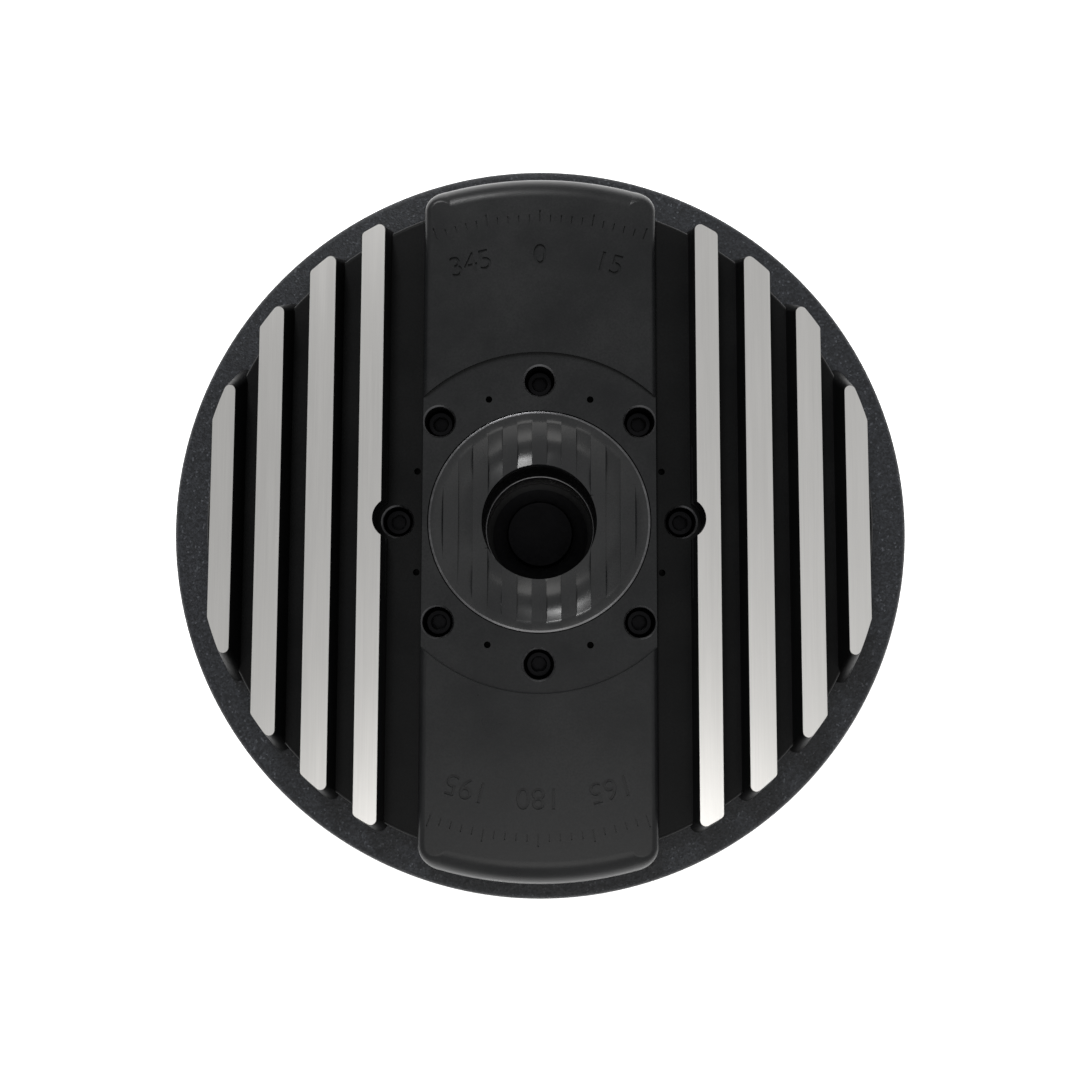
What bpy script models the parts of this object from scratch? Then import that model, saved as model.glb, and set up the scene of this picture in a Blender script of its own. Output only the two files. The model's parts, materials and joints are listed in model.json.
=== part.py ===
"""Alt azimuth mount: the azimuth drive head that a telescope's arm is bolted to.

A fixed round base holds a bearing tower, a worm drive and a control board. A finned turntable
stands over it, bolted to a hollow spindle that runs in the tower.
Units are metres and +Z is up. The origin is on the ground, in the middle between the feet.
"""
import math

import bmesh
import bpy
from mathutils import Matrix, Vector

# Clearances
SEAT = 0.0003            # between two pieces that rest on each other
RUN = 0.0010             # between pieces that turn past each other

# Smoothness: sides on a round piece
LARGE = 48
MEDIUM = 32
SMALL = 16
HOLE = 10
TINY = 6

# Feet and bottom plate
FOOT_HEIGHT = 0.008
FOOT_R = 0.011
FOOT_TAPER = 0.0015
FOOT_INSET = 0.022       # foot centres, in from the housing's edge
PLATE_THICK = 0.004
PLATE_INSET = 0.0015     # the plate's edge lies this far inside the housing's
INSERT_GAP = 0.0025       # from the spindle's bore to the insert's flange
INSERT_FLANGE = 0.004
INSERT_HEIGHT = 0.009    # above its flange
TRIPOD_THREAD_R = 0.00476
TRIPOD_THREAD_DEPTH = 0.013

# Base housing
BASE_R = 0.112
RIM_Z = 0.054            # top of the textured rim
WALL = 0.005
DECK_THICK = 0.005
DECK_GAP = 0.002         # round the turntable's boss
RIM_CHAMFER = 0.002
SKIRT_CHAMFER = 0.001
SCREW_BOSS_R = 0.005
SCREW_BOSS_HEIGHT = 0.012

# Turntable casting
TABLE_GAP = 0.003        # over the rim
TABLE_THICK = 0.0066     # to the floor of the channels
TABLE_INSET = 0.0128     # table's edge, in from the housing's
POCKET_DEPTH = 0.003     # hollow under the table
POCKET_WALL = 0.005
BOSS_R = 0.054
HUB_RISE = 0.0024        # spotface over the channel floor
BRIDGE_RISE = 0.0036     # bridge over the channel floor
BRIDGE_HALF = 0.0349
BRIDGE_INSET = 0.0060
BRIDGE_ROLL = 0.009
BRIDGE_EDGE = 0.0025
SPOTFACE_R = 0.0506
FIN_RISE = 0.0109        # over the channel floor
FIN_TOP_INSET = 0.0128   # circle that the fins' tops end on
FIN_FOOT_INSET = 0.0088  # circle that the fins' feet end on
FIN_DRAFT = 0.0008
FINS = ((0.0489, 0.0069), (0.0636, 0.0077), (0.0783, 0.0072), (0.0917, 0.0066))  # centre, width

# Hub, bore and the holes round it
HUB_R = 0.0328
HUB_DEPTH = 0.006
HUB_DISH = 0.0028
BORE_R = 0.0171
LINER_WALL = 0.0011
LINER_DEPTH = 0.0286     # below the spotface
BOLT_COUNT = 8
BOLT_CIRCLE = 0.0421
COUNTERBORE_R = 0.0045
COUNTERBORE_DEPTH = 0.010
TOOL_NOTCH_R = 0.006
PIN_HOLE_R = 0.001
PIN_CIRCLE = 0.0394
PIN_DEPTH = 0.004

# Spindle, bearing and tower
FLANGE_R = 0.0515
FLANGE_THICK = 0.008
FLANGE_SEAT_DROP = 0.0033  # flange top below the rim
SPINDLE_WALL = 0.0055
BALL_R = 0.003
BALL_COUNT = 12
RACE_WALL = 0.0034       # behind the ball groove
RACE_LIP = 0.0012        # depth of the ball groove
RACE_WIDTH = 0.009
SHOULDER = 0.0014        # spindle shoulder over the inner race
TOWER_WALL = 0.0055
TOWER_FOOT = 0.0085      # foot flange beyond the tower's wall
TOWER_FOOT_THICK = 0.006
BUSH_WALL = 0.006
BUSH_GAP = 0.0009         # from the bush's top to the inner race
BUSH_FLANGE = 0.002
NUT_HEIGHT = 0.0045
NUT_WALL = 0.008

# Worm drive
MODULE = 0.0018
WHEEL_TEETH = 60
WHEEL_THICK = 0.010
WHEEL_BORE_GAP = 0.001
WORM_PITCH_R = 0.009
WORM_TURNS = 3
BACKLASH = 0.0003
JOURNAL_R = 0.003
WORM_BEARING_R = 0.007
EAR_INSIDE = 0.022
EAR_THICK = 0.005
EAR_MARGIN = 0.0025      # round the worm bearing
BRACKET_BASE = 0.0045
COUPLING_R = 0.006
COUPLING_LONG = 0.010
MOTOR_R = 0.011
MOTOR_LONG = 0.025
MOTOR_BOSS_R = 0.0037
MOTOR_SHAFT_R = 0.0015
MOUNT_THICK = 0.003

# Side panel
PANEL_INSET = 0.0065     # flat that the panel lies on, in from the housing's edge
PANEL_THICK = 0.002
PANEL_HALF = 0.0275
PANEL_Z = 0.034
PANEL_HEIGHT = 0.024
PANEL_MARGIN = 0.002     # recess round the panel
PAD_THICK = 0.0065
WINDOW_HALF = 0.022
WINDOW_HEIGHT = 0.018
BEZEL = 0.0015
SOCKET_DEPTH = 0.011
POWER_X = -0.0155
POWER_R = 0.0055
HANDSET_X = 0.0015
HANDSET_SIZE = (0.0135, 0.0115)
PORT_SIZE = (0.0105, 0.0070)
SWITCH_X = 0.0161
SWITCH_SIZE = (0.0105, 0.0170)
ROCKER_TILT = math.radians(8)
LENS_R = 0.0015
LENS_X = -0.0070
LENS_RISE = 0.0085
PANEL_SCREW_X = 0.0249

# Control board
BOARD_SIZE = (0.066, 0.030, 0.0016)
BOARD_INSET = 0.035      # board's middle, in from the housing's edge
POST_R = 0.0025
POST_HEIGHT = 0.0057

# Fasteners: shank radius, head radius, head height
M3 = (0.0015, 0.0028, 0.0018)
M5 = (0.0025, 0.00425, 0.005)
M2 = (0.0010, 0.0020, 0.0012)
KEY_R = 0.0023           # hexagon socket, across corners
KEY_DEPTH = 0.0025

# Heights that follow
PLATE_TOP = FOOT_HEIGHT + PLATE_THICK
HOUSING_LOW = PLATE_TOP + SEAT
DECK_LOW = RIM_Z - DECK_THICK
TABLE_LOW = RIM_Z + TABLE_GAP
FLOOR_Z = TABLE_LOW + TABLE_THICK
HUB_Z = FLOOR_Z + HUB_RISE
BRIDGE_Z = FLOOR_Z + BRIDGE_RISE
FIN_Z = FLOOR_Z + FIN_RISE
HUB_SEAT = HUB_Z - HUB_DEPTH
FLANGE_TOP = RIM_Z - FLANGE_SEAT_DROP
FLANGE_LOW = FLANGE_TOP - FLANGE_THICK
BOSS_LOW = FLANGE_TOP + SEAT
RACE_TOP = FLANGE_LOW - SHOULDER - SEAT
RACE_LOW = RACE_TOP - RACE_WIDTH
TOWER_TOP = FLANGE_LOW - RUN
SPINDLE_LOW = PLATE_TOP + RUN
NUT_LOW = SPINDLE_LOW + SEAT
BUSH_LOW = NUT_LOW + NUT_HEIGHT + SEAT
BUSH_SEAT = BUSH_LOW + BUSH_FLANGE + SEAT
WHEEL_TOP = FLANGE_LOW - SEAT
WORM_Z = WHEEL_TOP - WHEEL_THICK / 2

# Radii that follow
TABLE_R = BASE_R - TABLE_INSET
BRIDGE_R = BASE_R - BRIDGE_INSET
FIN_TOP_R = BASE_R - FIN_TOP_INSET
FIN_FOOT_R = BASE_R - FIN_FOOT_INSET
FOOT_CIRCLE = BASE_R - FOOT_INSET
PANEL_Y = PANEL_INSET - BASE_R
BOARD_Y = BOARD_INSET - BASE_R
SPINDLE_BORE = BORE_R + LINER_WALL + SEAT
SPINDLE_R = SPINDLE_BORE + SPINDLE_WALL
INSERT_R = SPINDLE_BORE - INSERT_GAP - INSERT_FLANGE
RACE_BORE = SPINDLE_R + SEAT
BALL_CIRCLE = RACE_BORE + RACE_WALL + SEAT + BALL_R
RACE_R = BALL_CIRCLE + BALL_R + SEAT + RACE_WALL
TOWER_BORE = RACE_R + SEAT
TOWER_R = TOWER_BORE + TOWER_WALL
BUSH_R = RACE_BORE + BUSH_WALL
WHEEL_BORE = TOWER_R + WHEEL_BORE_GAP
WHEEL_PITCH_R = MODULE * WHEEL_TEETH / 2
WHEEL_SCREW_CIRCLE = (WHEEL_BORE + WHEEL_PITCH_R - 1.25 * MODULE) / 2
TOWER_SCREW_CIRCLE = TOWER_R + TOWER_FOOT / 2
HOUSING_SCREW_CIRCLE = BASE_R - WALL - SCREW_BOSS_R + 0.0005
WORM_Y = WHEEL_PITCH_R + WORM_PITCH_R
LEAD = math.pi * MODULE
SHAFT_JOIN = EAR_INSIDE + EAR_THICK + COUPLING_LONG / 2   # where the worm ends in the coupling
PANEL_FACE = PANEL_Y - SEAT - PANEL_THICK


def finish(name, colour, roughness, metallic=0.0):
    """A plain Principled material."""
    material = bpy.data.materials.new(name)
    material.use_nodes = True
    shader = material.node_tree.nodes["Principled BSDF"]
    shader.inputs["Base Color"].default_value = (*colour, 1.0)
    shader.inputs["Roughness"].default_value = roughness
    shader.inputs["Metallic"].default_value = metallic
    material.diffuse_color = (*colour, 1.0)
    return material


def collection(name):
    """A new collection in the scene."""
    made = bpy.data.collections.new(name)
    bpy.context.scene.collection.children.link(made)
    return made


for old in list(bpy.data.objects):
    bpy.data.objects.remove(old, do_unlink=True)

PARTS = collection("alt_azimuth_mount")
CUTTERS = collection("cutters")

TEXTURED = finish("textured_black", (0.018, 0.020, 0.024), 0.62)
SATIN = finish("satin_black", (0.022, 0.022, 0.023), 0.38)
GLOSS = finish("gloss_black", (0.008, 0.008, 0.008), 0.12)
STEEL = finish("steel", (0.46, 0.46, 0.47), 0.32, 1.0)
BLACK_STEEL = finish("black_oxide_steel", (0.05, 0.05, 0.055), 0.40, 1.0)
ALUMINIUM = finish("aluminium", (0.62, 0.63, 0.64), 0.35, 1.0)
BRASS = finish("brass", (0.60, 0.42, 0.16), 0.30, 1.0)
RUBBER = finish("rubber", (0.020, 0.020, 0.020), 0.80)
PLASTIC = finish("black_plastic", (0.020, 0.020, 0.021), 0.45)
CIRCUIT = finish("circuit_board", (0.015, 0.120, 0.045), 0.45)
LENS = finish("red_lens", (0.55, 0.02, 0.02), 0.15)

AXES = {
    "X": Matrix.Rotation(math.pi / 2, 4, "Y"),
    "Y": Matrix.Rotation(-math.pi / 2, 4, "X"),
    "Z": Matrix.Identity(4),
}


def add_box(bm, low, high):
    """A box between two corners."""
    low, high = Vector(low), Vector(high)
    scale = Matrix.Diagonal((*(high - low), 1.0))
    bmesh.ops.create_cube(bm, size=1.0, matrix=Matrix.Translation((low + high) / 2) @ scale)


def add_cylinder(bm, radius, start, end, at=(0.0, 0.0), axis="Z", sides=HOLE, end_radius=None):
    """A cylinder or cone from start to end along an axis, at its two other coordinates."""
    middle = (start + end) / 2
    place = {"X": (middle, *at), "Y": (at[0], middle, at[1]), "Z": (*at, middle)}[axis]
    bmesh.ops.create_cone(
        bm, cap_ends=True, segments=sides, radius1=radius,
        radius2=radius if end_radius is None else end_radius, depth=end - start,
        matrix=Matrix.Translation(place) @ AXES[axis])


def place_mesh(name, mesh, group, material=None):
    """An object in a collection, shaded smooth between its sharp edges."""
    mesh.shade_smooth()
    mesh.set_sharp_from_angle(angle=math.radians(30))
    made = bpy.data.objects.new(name, mesh)
    group.objects.link(made)
    if material:
        mesh.materials.append(material)
    else:
        made.hide_render = True
        made.display_type = "WIRE"
    return made


def solid(name, draw, material=None):
    """A solid whose primitives are drawn by a function; a cutter when it has no material."""
    bm = bmesh.new()
    draw(bm)
    mesh = bpy.data.meshes.new(name)
    bm.to_mesh(mesh)
    bm.free()
    return place_mesh(name, mesh, PARTS if material else CUTTERS, material)


def turned(name, profile, steps, material=None, axis="Z", at=(0.0, 0.0, 0.0)):
    """A turned solid. The profile runs down its outer side; one that starts and ends on the
    axis is solid, and any other is a ring."""
    count = len(profile)
    is_ring = profile[0][0] > 0 or profile[-1][0] > 0
    edges = [(i, (i + 1) % count) for i in range(count if is_ring else count - 1)]
    mesh = bpy.data.meshes.new(name)
    mesh.from_pydata([(radius, 0.0, height) for radius, height in profile], edges, [])
    made = place_mesh(name, mesh, PARTS if material else CUTTERS, material)
    screw = made.modifiers.new("turn", "SCREW")
    screw.steps = screw.render_steps = steps
    screw.use_merge_vertices = True
    screw.merge_threshold = 1e-6
    screw.use_smooth_shade = False
    made.matrix_world = Matrix.Translation(at) @ AXES[axis]
    return made


def boolean(target, tool, operation="DIFFERENCE"):
    """Cut the target with a tool, or join the tool to it."""
    modifier = target.modifiers.new(operation.lower(), "BOOLEAN")
    modifier.operation = operation
    modifier.solver = "EXACT"
    modifier.object = tool


def baked(source, name, material=None):
    """The evaluated shape of an object as a welded mesh object, in place of that object."""
    bpy.context.view_layer.update()
    evaluated = source.evaluated_get(bpy.context.evaluated_depsgraph_get())
    mesh = bpy.data.meshes.new_from_object(evaluated)
    matrix = source.matrix_world.copy()
    bm = bmesh.new()
    bm.from_mesh(mesh)
    bmesh.ops.remove_doubles(bm, verts=bm.verts, dist=1e-6)
    bmesh.ops.holes_fill(bm, edges=[edge for edge in bm.edges if edge.is_boundary])
    bmesh.ops.recalc_face_normals(bm, faces=bm.faces)
    bm.to_mesh(mesh)
    bm.free()
    mesh.materials.clear()
    bpy.data.objects.remove(source)
    made = place_mesh(name, mesh, PARTS if material else CUTTERS, material)
    made.matrix_world = matrix
    return made


def polar(radius, degrees):
    """A point on a circle round the axis."""
    angle = math.radians(degrees)
    return radius * math.cos(angle), radius * math.sin(angle)


def ring_of(count, radius, first=0.0):
    """Evenly spaced points on a circle."""
    return [polar(radius, first + 360.0 * i / count) for i in range(count)]


def drill(target, points, radius, start, end, axis="Z", sides=HOLE):
    """Drill the same hole at each point."""
    def draw(bm):
        for point in points:
            add_cylinder(bm, radius, start, end, point, axis, sides)
    boolean(target, solid(target.name + "_drill", draw))


def screw(name, size, seat, tip, at, material, key=False):
    """A vertical screw: its head lies against the seat, and its shank ends at the tip."""
    shank_r, head_r, head_high = size
    up = 1 if tip > seat else -1
    under_head = seat - up * SEAT

    def draw(bm):
        add_cylinder(bm, head_r, *sorted((under_head, under_head - up * head_high)), at)

    def draw_shank(bm):
        add_cylinder(bm, shank_r, *sorted((under_head - up * head_high / 2, tip)), at, sides=TINY)

    made = solid(name, draw, material)
    boolean(made, solid(name + "_shank", draw_shank), "UNION")
    if key:
        top = under_head - up * head_high
        drill(made, [at], KEY_R, *sorted((top - up * SEAT, top + up * KEY_DEPTH)), sides=6)
    return made


FOOT_POINTS = ring_of(3, FOOT_CIRCLE, 30)
HOUSING_SCREWS = ring_of(4, HOUSING_SCREW_CIRCLE, 45)
TOWER_SCREWS = ring_of(3, TOWER_SCREW_CIRCLE, 90)
BRACKET_SCREWS = [(-EAR_INSIDE / 2, WORM_Y), (EAR_INSIDE / 2, WORM_Y)]
WHEEL_SCREWS = ring_of(4, WHEEL_SCREW_CIRCLE, 45 / 2)
BOLTS = ring_of(BOLT_COUNT, BOLT_CIRCLE)
PINS = ring_of(BOLT_COUNT, PIN_CIRCLE, 180 / BOLT_COUNT)
BOARD_POSTS = [(x, BOARD_Y + y) for x in (-0.028, 0.028) for y in (-0.011, 0.011)]
HEAD_SINK = M3[2] + SEAT + 0.0003   # counterbore depth for an M3 head


def bottom_plate():
    """Round plate that closes the base: holes for its screws and posts for the board."""
    plate_r = BASE_R - PLATE_INSET
    plate = solid("bottom_plate", lambda bm: add_cylinder(
        bm, plate_r, FOOT_HEIGHT, PLATE_TOP, sides=LARGE), SATIN)

    def draw_posts(bm):
        for point in BOARD_POSTS:
            add_cylinder(bm, POST_R, PLATE_TOP - PLATE_THICK / 2, PLATE_TOP + POST_HEIGHT, point)

    boolean(plate, solid("board_posts", draw_posts), "UNION")
    below, above = FOOT_HEIGHT - RUN, PLATE_TOP + RUN
    sunk = HOUSING_SCREWS + TOWER_SCREWS + BRACKET_SCREWS
    drill(plate, FOOT_POINTS + sunk, M3[0] + SEAT, below, above, sides=TINY)
    drill(plate, sunk, M3[1] + SEAT, below, FOOT_HEIGHT + HEAD_SINK)
    drill(plate, [(0.0, 0.0)], INSERT_R + SEAT, below, above, sides=SMALL)


def tripod_insert():
    """Threaded insert that the tripod's centre bolt screws into from below."""
    flange_low = PLATE_TOP + SEAT
    flange_top = flange_low + PLATE_THICK - RUN
    flange_r = INSERT_R + INSERT_FLANGE
    top = flange_top + INSERT_HEIGHT
    hole_top = FOOT_HEIGHT + TRIPOD_THREAD_DEPTH
    turned("tripod_insert", [
        (0.0, top), (INSERT_R - RUN, top), (INSERT_R - RUN, flange_top), (flange_r, flange_top),
        (flange_r, flange_low), (INSERT_R, flange_low), (INSERT_R, FOOT_HEIGHT),
        (TRIPOD_THREAD_R, FOOT_HEIGHT), (TRIPOD_THREAD_R, hole_top), (0.0, hole_top)],
        SMALL, BRASS)


def feet():
    """Three rubber feet, each held by a screw from below."""
    top = FOOT_HEIGHT - SEAT
    seat = FOOT_HEIGHT / 2
    for i, point in enumerate(FOOT_POINTS, 1):
        turned(f"foot_{i}", [
            (FOOT_R, top), (FOOT_R, seat), (FOOT_R - FOOT_TAPER, 0.0), (M3[1] + RUN, 0.0),
            (M3[1] + RUN, seat), (M3[0] + SEAT, seat), (M3[0] + SEAT, top)],
            SMALL, RUBBER, at=(*point, 0.0))
        screw(f"foot_screw_{i}", M3, seat, PLATE_TOP - RUN, point, STEEL)


def base_housing():
    """Drum with a deck: bosses for the bottom screws and a flat recess for the side panel."""
    wall_r = BASE_R - WALL
    hole_r = BOSS_R + DECK_GAP
    housing = turned("base_housing", [
        (BASE_R - RIM_CHAMFER, RIM_Z), (BASE_R, RIM_Z - RIM_CHAMFER),
        (BASE_R, HOUSING_LOW + SKIRT_CHAMFER), (BASE_R - SKIRT_CHAMFER, HOUSING_LOW),
        (wall_r, HOUSING_LOW), (wall_r, DECK_LOW), (hole_r, DECK_LOW), (hole_r, RIM_Z)],
        LARGE, TEXTURED)
    boss_top = HOUSING_LOW + SCREW_BOSS_HEIGHT
    half_high = PANEL_HEIGHT / 2 + PANEL_MARGIN
    recess_half = PANEL_HALF + PANEL_MARGIN

    def draw_bosses(bm):
        for point in HOUSING_SCREWS:
            add_cylinder(bm, SCREW_BOSS_R, HOUSING_LOW + SEAT, boss_top, point)

    def draw_pad(bm):
        add_box(bm, (-recess_half, PANEL_Y - RUN, PANEL_Z - half_high - WALL / 2),
                (recess_half, PANEL_Y + PAD_THICK, PANEL_Z + half_high + WALL / 2))

    def draw_recess(bm):
        add_box(bm, (-recess_half, -BASE_R - RUN, PANEL_Z - half_high),
                (recess_half, PANEL_Y, PANEL_Z + half_high))

    def draw_window(bm):
        add_box(bm, (-WINDOW_HALF, PANEL_Y - RUN, PANEL_Z - WINDOW_HEIGHT / 2),
                (WINDOW_HALF, PANEL_Y + PAD_THICK + RUN, PANEL_Z + WINDOW_HEIGHT / 2))

    boolean(housing, solid("screw_bosses", draw_bosses), "UNION")
    boolean(housing, solid("panel_pad", draw_pad), "UNION")
    boolean(housing, solid("panel_recess", draw_recess))
    boolean(housing, solid("panel_window", draw_window))
    drill(housing, HOUSING_SCREWS, M3[0] + SEAT, HOUSING_LOW - RUN, boss_top - RUN, sides=TINY)
    drill(housing, [(x, PANEL_Z) for x in (-PANEL_SCREW_X, PANEL_SCREW_X)], M2[0] + SEAT,
          PANEL_Y - RUN, PANEL_Y + PAD_THICK - RUN, "Y", TINY)


def base_screws():
    """Screws that come up through the bottom plate."""
    seat = FOOT_HEIGHT + HEAD_SINK
    for i, point in enumerate(HOUSING_SCREWS, 1):
        screw(f"housing_screw_{i}", M3, seat, HOUSING_LOW + SCREW_BOSS_HEIGHT - 2 * RUN,
              point, STEEL)
    for i, point in enumerate(TOWER_SCREWS, 1):
        screw(f"tower_screw_{i}", M3, seat, PLATE_TOP + TOWER_FOOT_THICK - RUN, point, STEEL)
    for i, point in enumerate(BRACKET_SCREWS, 1):
        screw(f"bracket_screw_{i}", M3, seat, PLATE_TOP + BRACKET_BASE - RUN, point, STEEL)


def bearing_tower():
    """Fixed tower that carries the spindle's ball bearing on top and its bush below."""
    foot_r = TOWER_R + TOWER_FOOT
    foot_top = HOUSING_LOW + TOWER_FOOT_THICK
    race_seat = RACE_LOW - SEAT
    nut_room = SPINDLE_R + NUT_WALL + RUN
    tower = turned("bearing_tower", [
        (TOWER_R, TOWER_TOP), (TOWER_R, foot_top), (foot_r, foot_top), (foot_r, HOUSING_LOW),
        (nut_room, HOUSING_LOW), (nut_room, BUSH_SEAT), (BUSH_R + SEAT, BUSH_SEAT),
        (BUSH_R + SEAT, race_seat), (TOWER_BORE, race_seat), (TOWER_BORE, TOWER_TOP)],
        MEDIUM, ALUMINIUM)
    drill(tower, TOWER_SCREWS, M3[0] + SEAT, HOUSING_LOW - RUN, foot_top - SEAT, sides=TINY)


def spindle():
    """Hollow spindle: the turntable is bolted on its flange, and the nut clamps it below."""
    shoulder_low = FLANGE_LOW - SHOULDER
    shaft = turned("spindle", [
        (FLANGE_R, FLANGE_TOP), (FLANGE_R, FLANGE_LOW), (RACE_BORE + RACE_WALL, FLANGE_LOW),
        (RACE_BORE + RACE_WALL, shoulder_low), (SPINDLE_R, shoulder_low),
        (SPINDLE_R, SPINDLE_LOW), (SPINDLE_BORE, SPINDLE_LOW), (SPINDLE_BORE, FLANGE_TOP)],
        MEDIUM, STEEL)
    drill(shaft, BOLTS, M5[0] + SEAT, FLANGE_LOW + RUN, FLANGE_TOP + RUN, sides=TINY)
    drill(shaft, WHEEL_SCREWS, M3[0] + SEAT, FLANGE_LOW - RUN, FLANGE_TOP - RUN, sides=TINY)


def race(name, groove_r, lip_r, back_r):
    """One race of the ball bearing, grooved on the side where the balls run."""
    middle = (RACE_TOP + RACE_LOW) / 2
    half_groove = BALL_R / 3
    groove = [(lip_r, RACE_TOP), (groove_r, middle + half_groove),
              (groove_r, middle - half_groove), (lip_r, RACE_LOW)]
    back = [(back_r, RACE_TOP), (back_r, RACE_LOW)]
    inner = lip_r > back_r
    profile = groove + back[::-1] if inner else back + groove[::-1]
    turned(name, profile, MEDIUM, STEEL)


def ball_bearing():
    """Two races with a cage of balls between them. The balls are joined to their cage."""
    race("bearing_inner_race", BALL_CIRCLE - BALL_R - SEAT, BALL_CIRCLE - BALL_R + RACE_LIP - SEAT,
         RACE_BORE)
    race("bearing_outer_race", BALL_CIRCLE + BALL_R + SEAT, BALL_CIRCLE + BALL_R - RACE_LIP + SEAT,
         RACE_R)
    middle = (RACE_TOP + RACE_LOW) / 2
    half_wall = BALL_R / 5
    half_high = BALL_R / 2
    cage = turned("ball_cage", [
        (BALL_CIRCLE + half_wall, middle + half_high), (BALL_CIRCLE + half_wall, middle - half_high),
        (BALL_CIRCLE - half_wall, middle - half_high), (BALL_CIRCLE - half_wall, middle + half_high)],
        MEDIUM, STEEL)

    def draw_balls(bm):
        for x, y in ring_of(BALL_COUNT, BALL_CIRCLE, 15 / 2):
            bmesh.ops.create_uvsphere(bm, u_segments=8, v_segments=6, radius=BALL_R,
                                      matrix=Matrix.Translation((x, y, middle)))

    boolean(cage, solid("balls", draw_balls), "UNION")


def lower_bush_and_nut():
    """Bronze bush that steadies the spindle's foot, and the nut that clamps the stack."""
    flange_top = BUSH_LOW + BUSH_FLANGE
    bush_top = RACE_LOW - BUSH_GAP
    flange_r = SPINDLE_R + NUT_WALL
    turned("lower_bush", [
        (BUSH_R, bush_top), (BUSH_R, flange_top), (flange_r, flange_top),
        (flange_r, BUSH_LOW), (RACE_BORE, BUSH_LOW), (RACE_BORE, bush_top)],
        MEDIUM, BRASS)
    nut_top = NUT_LOW + NUT_HEIGHT
    nut = turned("lock_nut", [
        (flange_r, nut_top), (flange_r, NUT_LOW), (RACE_BORE, NUT_LOW), (RACE_BORE, nut_top)],
        MEDIUM, BLACK_STEEL)

    def draw_slots(bm):
        for x, y in ring_of(4, flange_r, 45):
            add_cylinder(bm, RUN * 2, NUT_LOW - RUN, nut_top + RUN, (x, y), sides=TINY)

    boolean(nut, solid("nut_slots", draw_slots))


def wheel_outline():
    """Teeth as straight-sided trapezoids, with the worm's pressure angle."""
    slope = math.tan(math.radians(20))
    levels = ((WHEEL_PITCH_R - 1.25 * MODULE, -1), (WHEEL_PITCH_R + MODULE, -1),
              (WHEEL_PITCH_R + MODULE, 1), (WHEEL_PITCH_R - 1.25 * MODULE, 1))
    points = []
    for tooth in range(WHEEL_TEETH):
        centre = math.pi / 2 + 2 * math.pi * (tooth + 0.5) / WHEEL_TEETH
        for radius, side in levels:
            half = LEAD / 4 - BACKLASH - slope * (radius - WHEEL_PITCH_R)
            angle = centre + side * half / radius
            points.append((radius * math.cos(angle), radius * math.sin(angle)))
    return points


def outline_curve(name, loops, thick):
    """A flat outline, with its holes, as a filled curve."""
    curve = bpy.data.curves.new(name, "CURVE")
    curve.dimensions = "2D"
    curve.fill_mode = "BOTH"
    curve.extrude = thick / 2
    curve.render_resolution_u = 0
    for loop in loops:
        spline = curve.splines.new("POLY")
        spline.points.add(len(loop) - 1)
        for point, (x, y) in zip(spline.points, loop):
            point.co = (x, y, 0.0, 1.0)
        spline.use_cyclic_u = True
    made = bpy.data.objects.new(name, curve)
    PARTS.objects.link(made)
    return made


def worm_wheel():
    """Wheel under the spindle's flange. Its teeth lean along the worm's thread."""
    bore = ring_of(MEDIUM, WHEEL_BORE)
    flat = outline_curve("wheel_outline", [wheel_outline(), bore], WHEEL_THICK)
    flat.location.z = WORM_Z
    wheel = baked(flat, "worm_wheel", BRASS)
    lean = LEAD / (2 * math.pi * WORM_PITCH_R) / WHEEL_PITCH_R
    for vertex in wheel.data.vertices:
        vertex.co = Matrix.Rotation(lean * vertex.co.z, 3, "Z") @ vertex.co
    low = WORM_Z - WHEEL_THICK / 2
    sink = low + 2 * M3[2]
    drill(wheel, WHEEL_SCREWS, M3[0] + SEAT, low - RUN, WHEEL_TOP + RUN, sides=TINY)
    drill(wheel, WHEEL_SCREWS, M3[1] + SEAT, low - RUN, sink)
    for i, point in enumerate(WHEEL_SCREWS, 1):
        screw(f"wheel_screw_{i}", M3, sink, FLANGE_TOP - 2 * RUN, point, STEEL)


def worm():
    """Worm with its journals. The thread's flanks run from root to tip at 20 degrees."""
    root_r = WORM_PITCH_R - 1.25 * MODULE
    half = WORM_TURNS * LEAD / 2 + MODULE
    step_r = JOURNAL_R + BACKLASH * 5
    body = turned("worm", [
        (0.0, SHAFT_JOIN), (JOURNAL_R, SHAFT_JOIN), (JOURNAL_R, EAR_INSIDE - SEAT),
        (step_r, EAR_INSIDE - SEAT), (step_r, half), (root_r, half), (root_r, -half), (step_r, -half), (step_r, SEAT - EAR_INSIDE),
        (JOURNAL_R, SEAT - EAR_INSIDE), (JOURNAL_R, -EAR_INSIDE - EAR_THICK),
        (0.0, -EAR_INSIDE - EAR_THICK)],
        SMALL, STEEL, "X", (0.0, WORM_Y, WORM_Z))
    slope = math.tan(math.radians(20))
    start = -WORM_TURNS * LEAD / 2
    tip_r = WORM_PITCH_R + MODULE
    foot_r = root_r - BACKLASH
    tip = LEAD / 4 - BACKLASH / 2 - slope * MODULE
    foot = tip + slope * (tip_r - foot_r)
    mesh = bpy.data.meshes.new("worm_thread")
    mesh.from_pydata([(tip_r, 0.0, start + tip), (tip_r, 0.0, start - tip),
                      (foot_r, 0.0, start - foot), (foot_r, 0.0, start + foot)],
                     [(0, 1), (1, 2), (2, 3), (3, 0)], [])
    coil = place_mesh("worm_coil", mesh, CUTTERS)
    wind = coil.modifiers.new("wind", "SCREW")
    wind.steps = wind.render_steps = SMALL
    wind.iterations = WORM_TURNS
    wind.screw_offset = LEAD
    thread = baked(coil, "worm_thread")
    facing_wheel = 2 * math.pi * (0.75 - WORM_TURNS / 2)   # a crest faces a gap of the wheel
    thread.matrix_world = body.matrix_world @ Matrix.Rotation(facing_wheel, 4, "Z")
    boolean(body, thread, "UNION")


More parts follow.
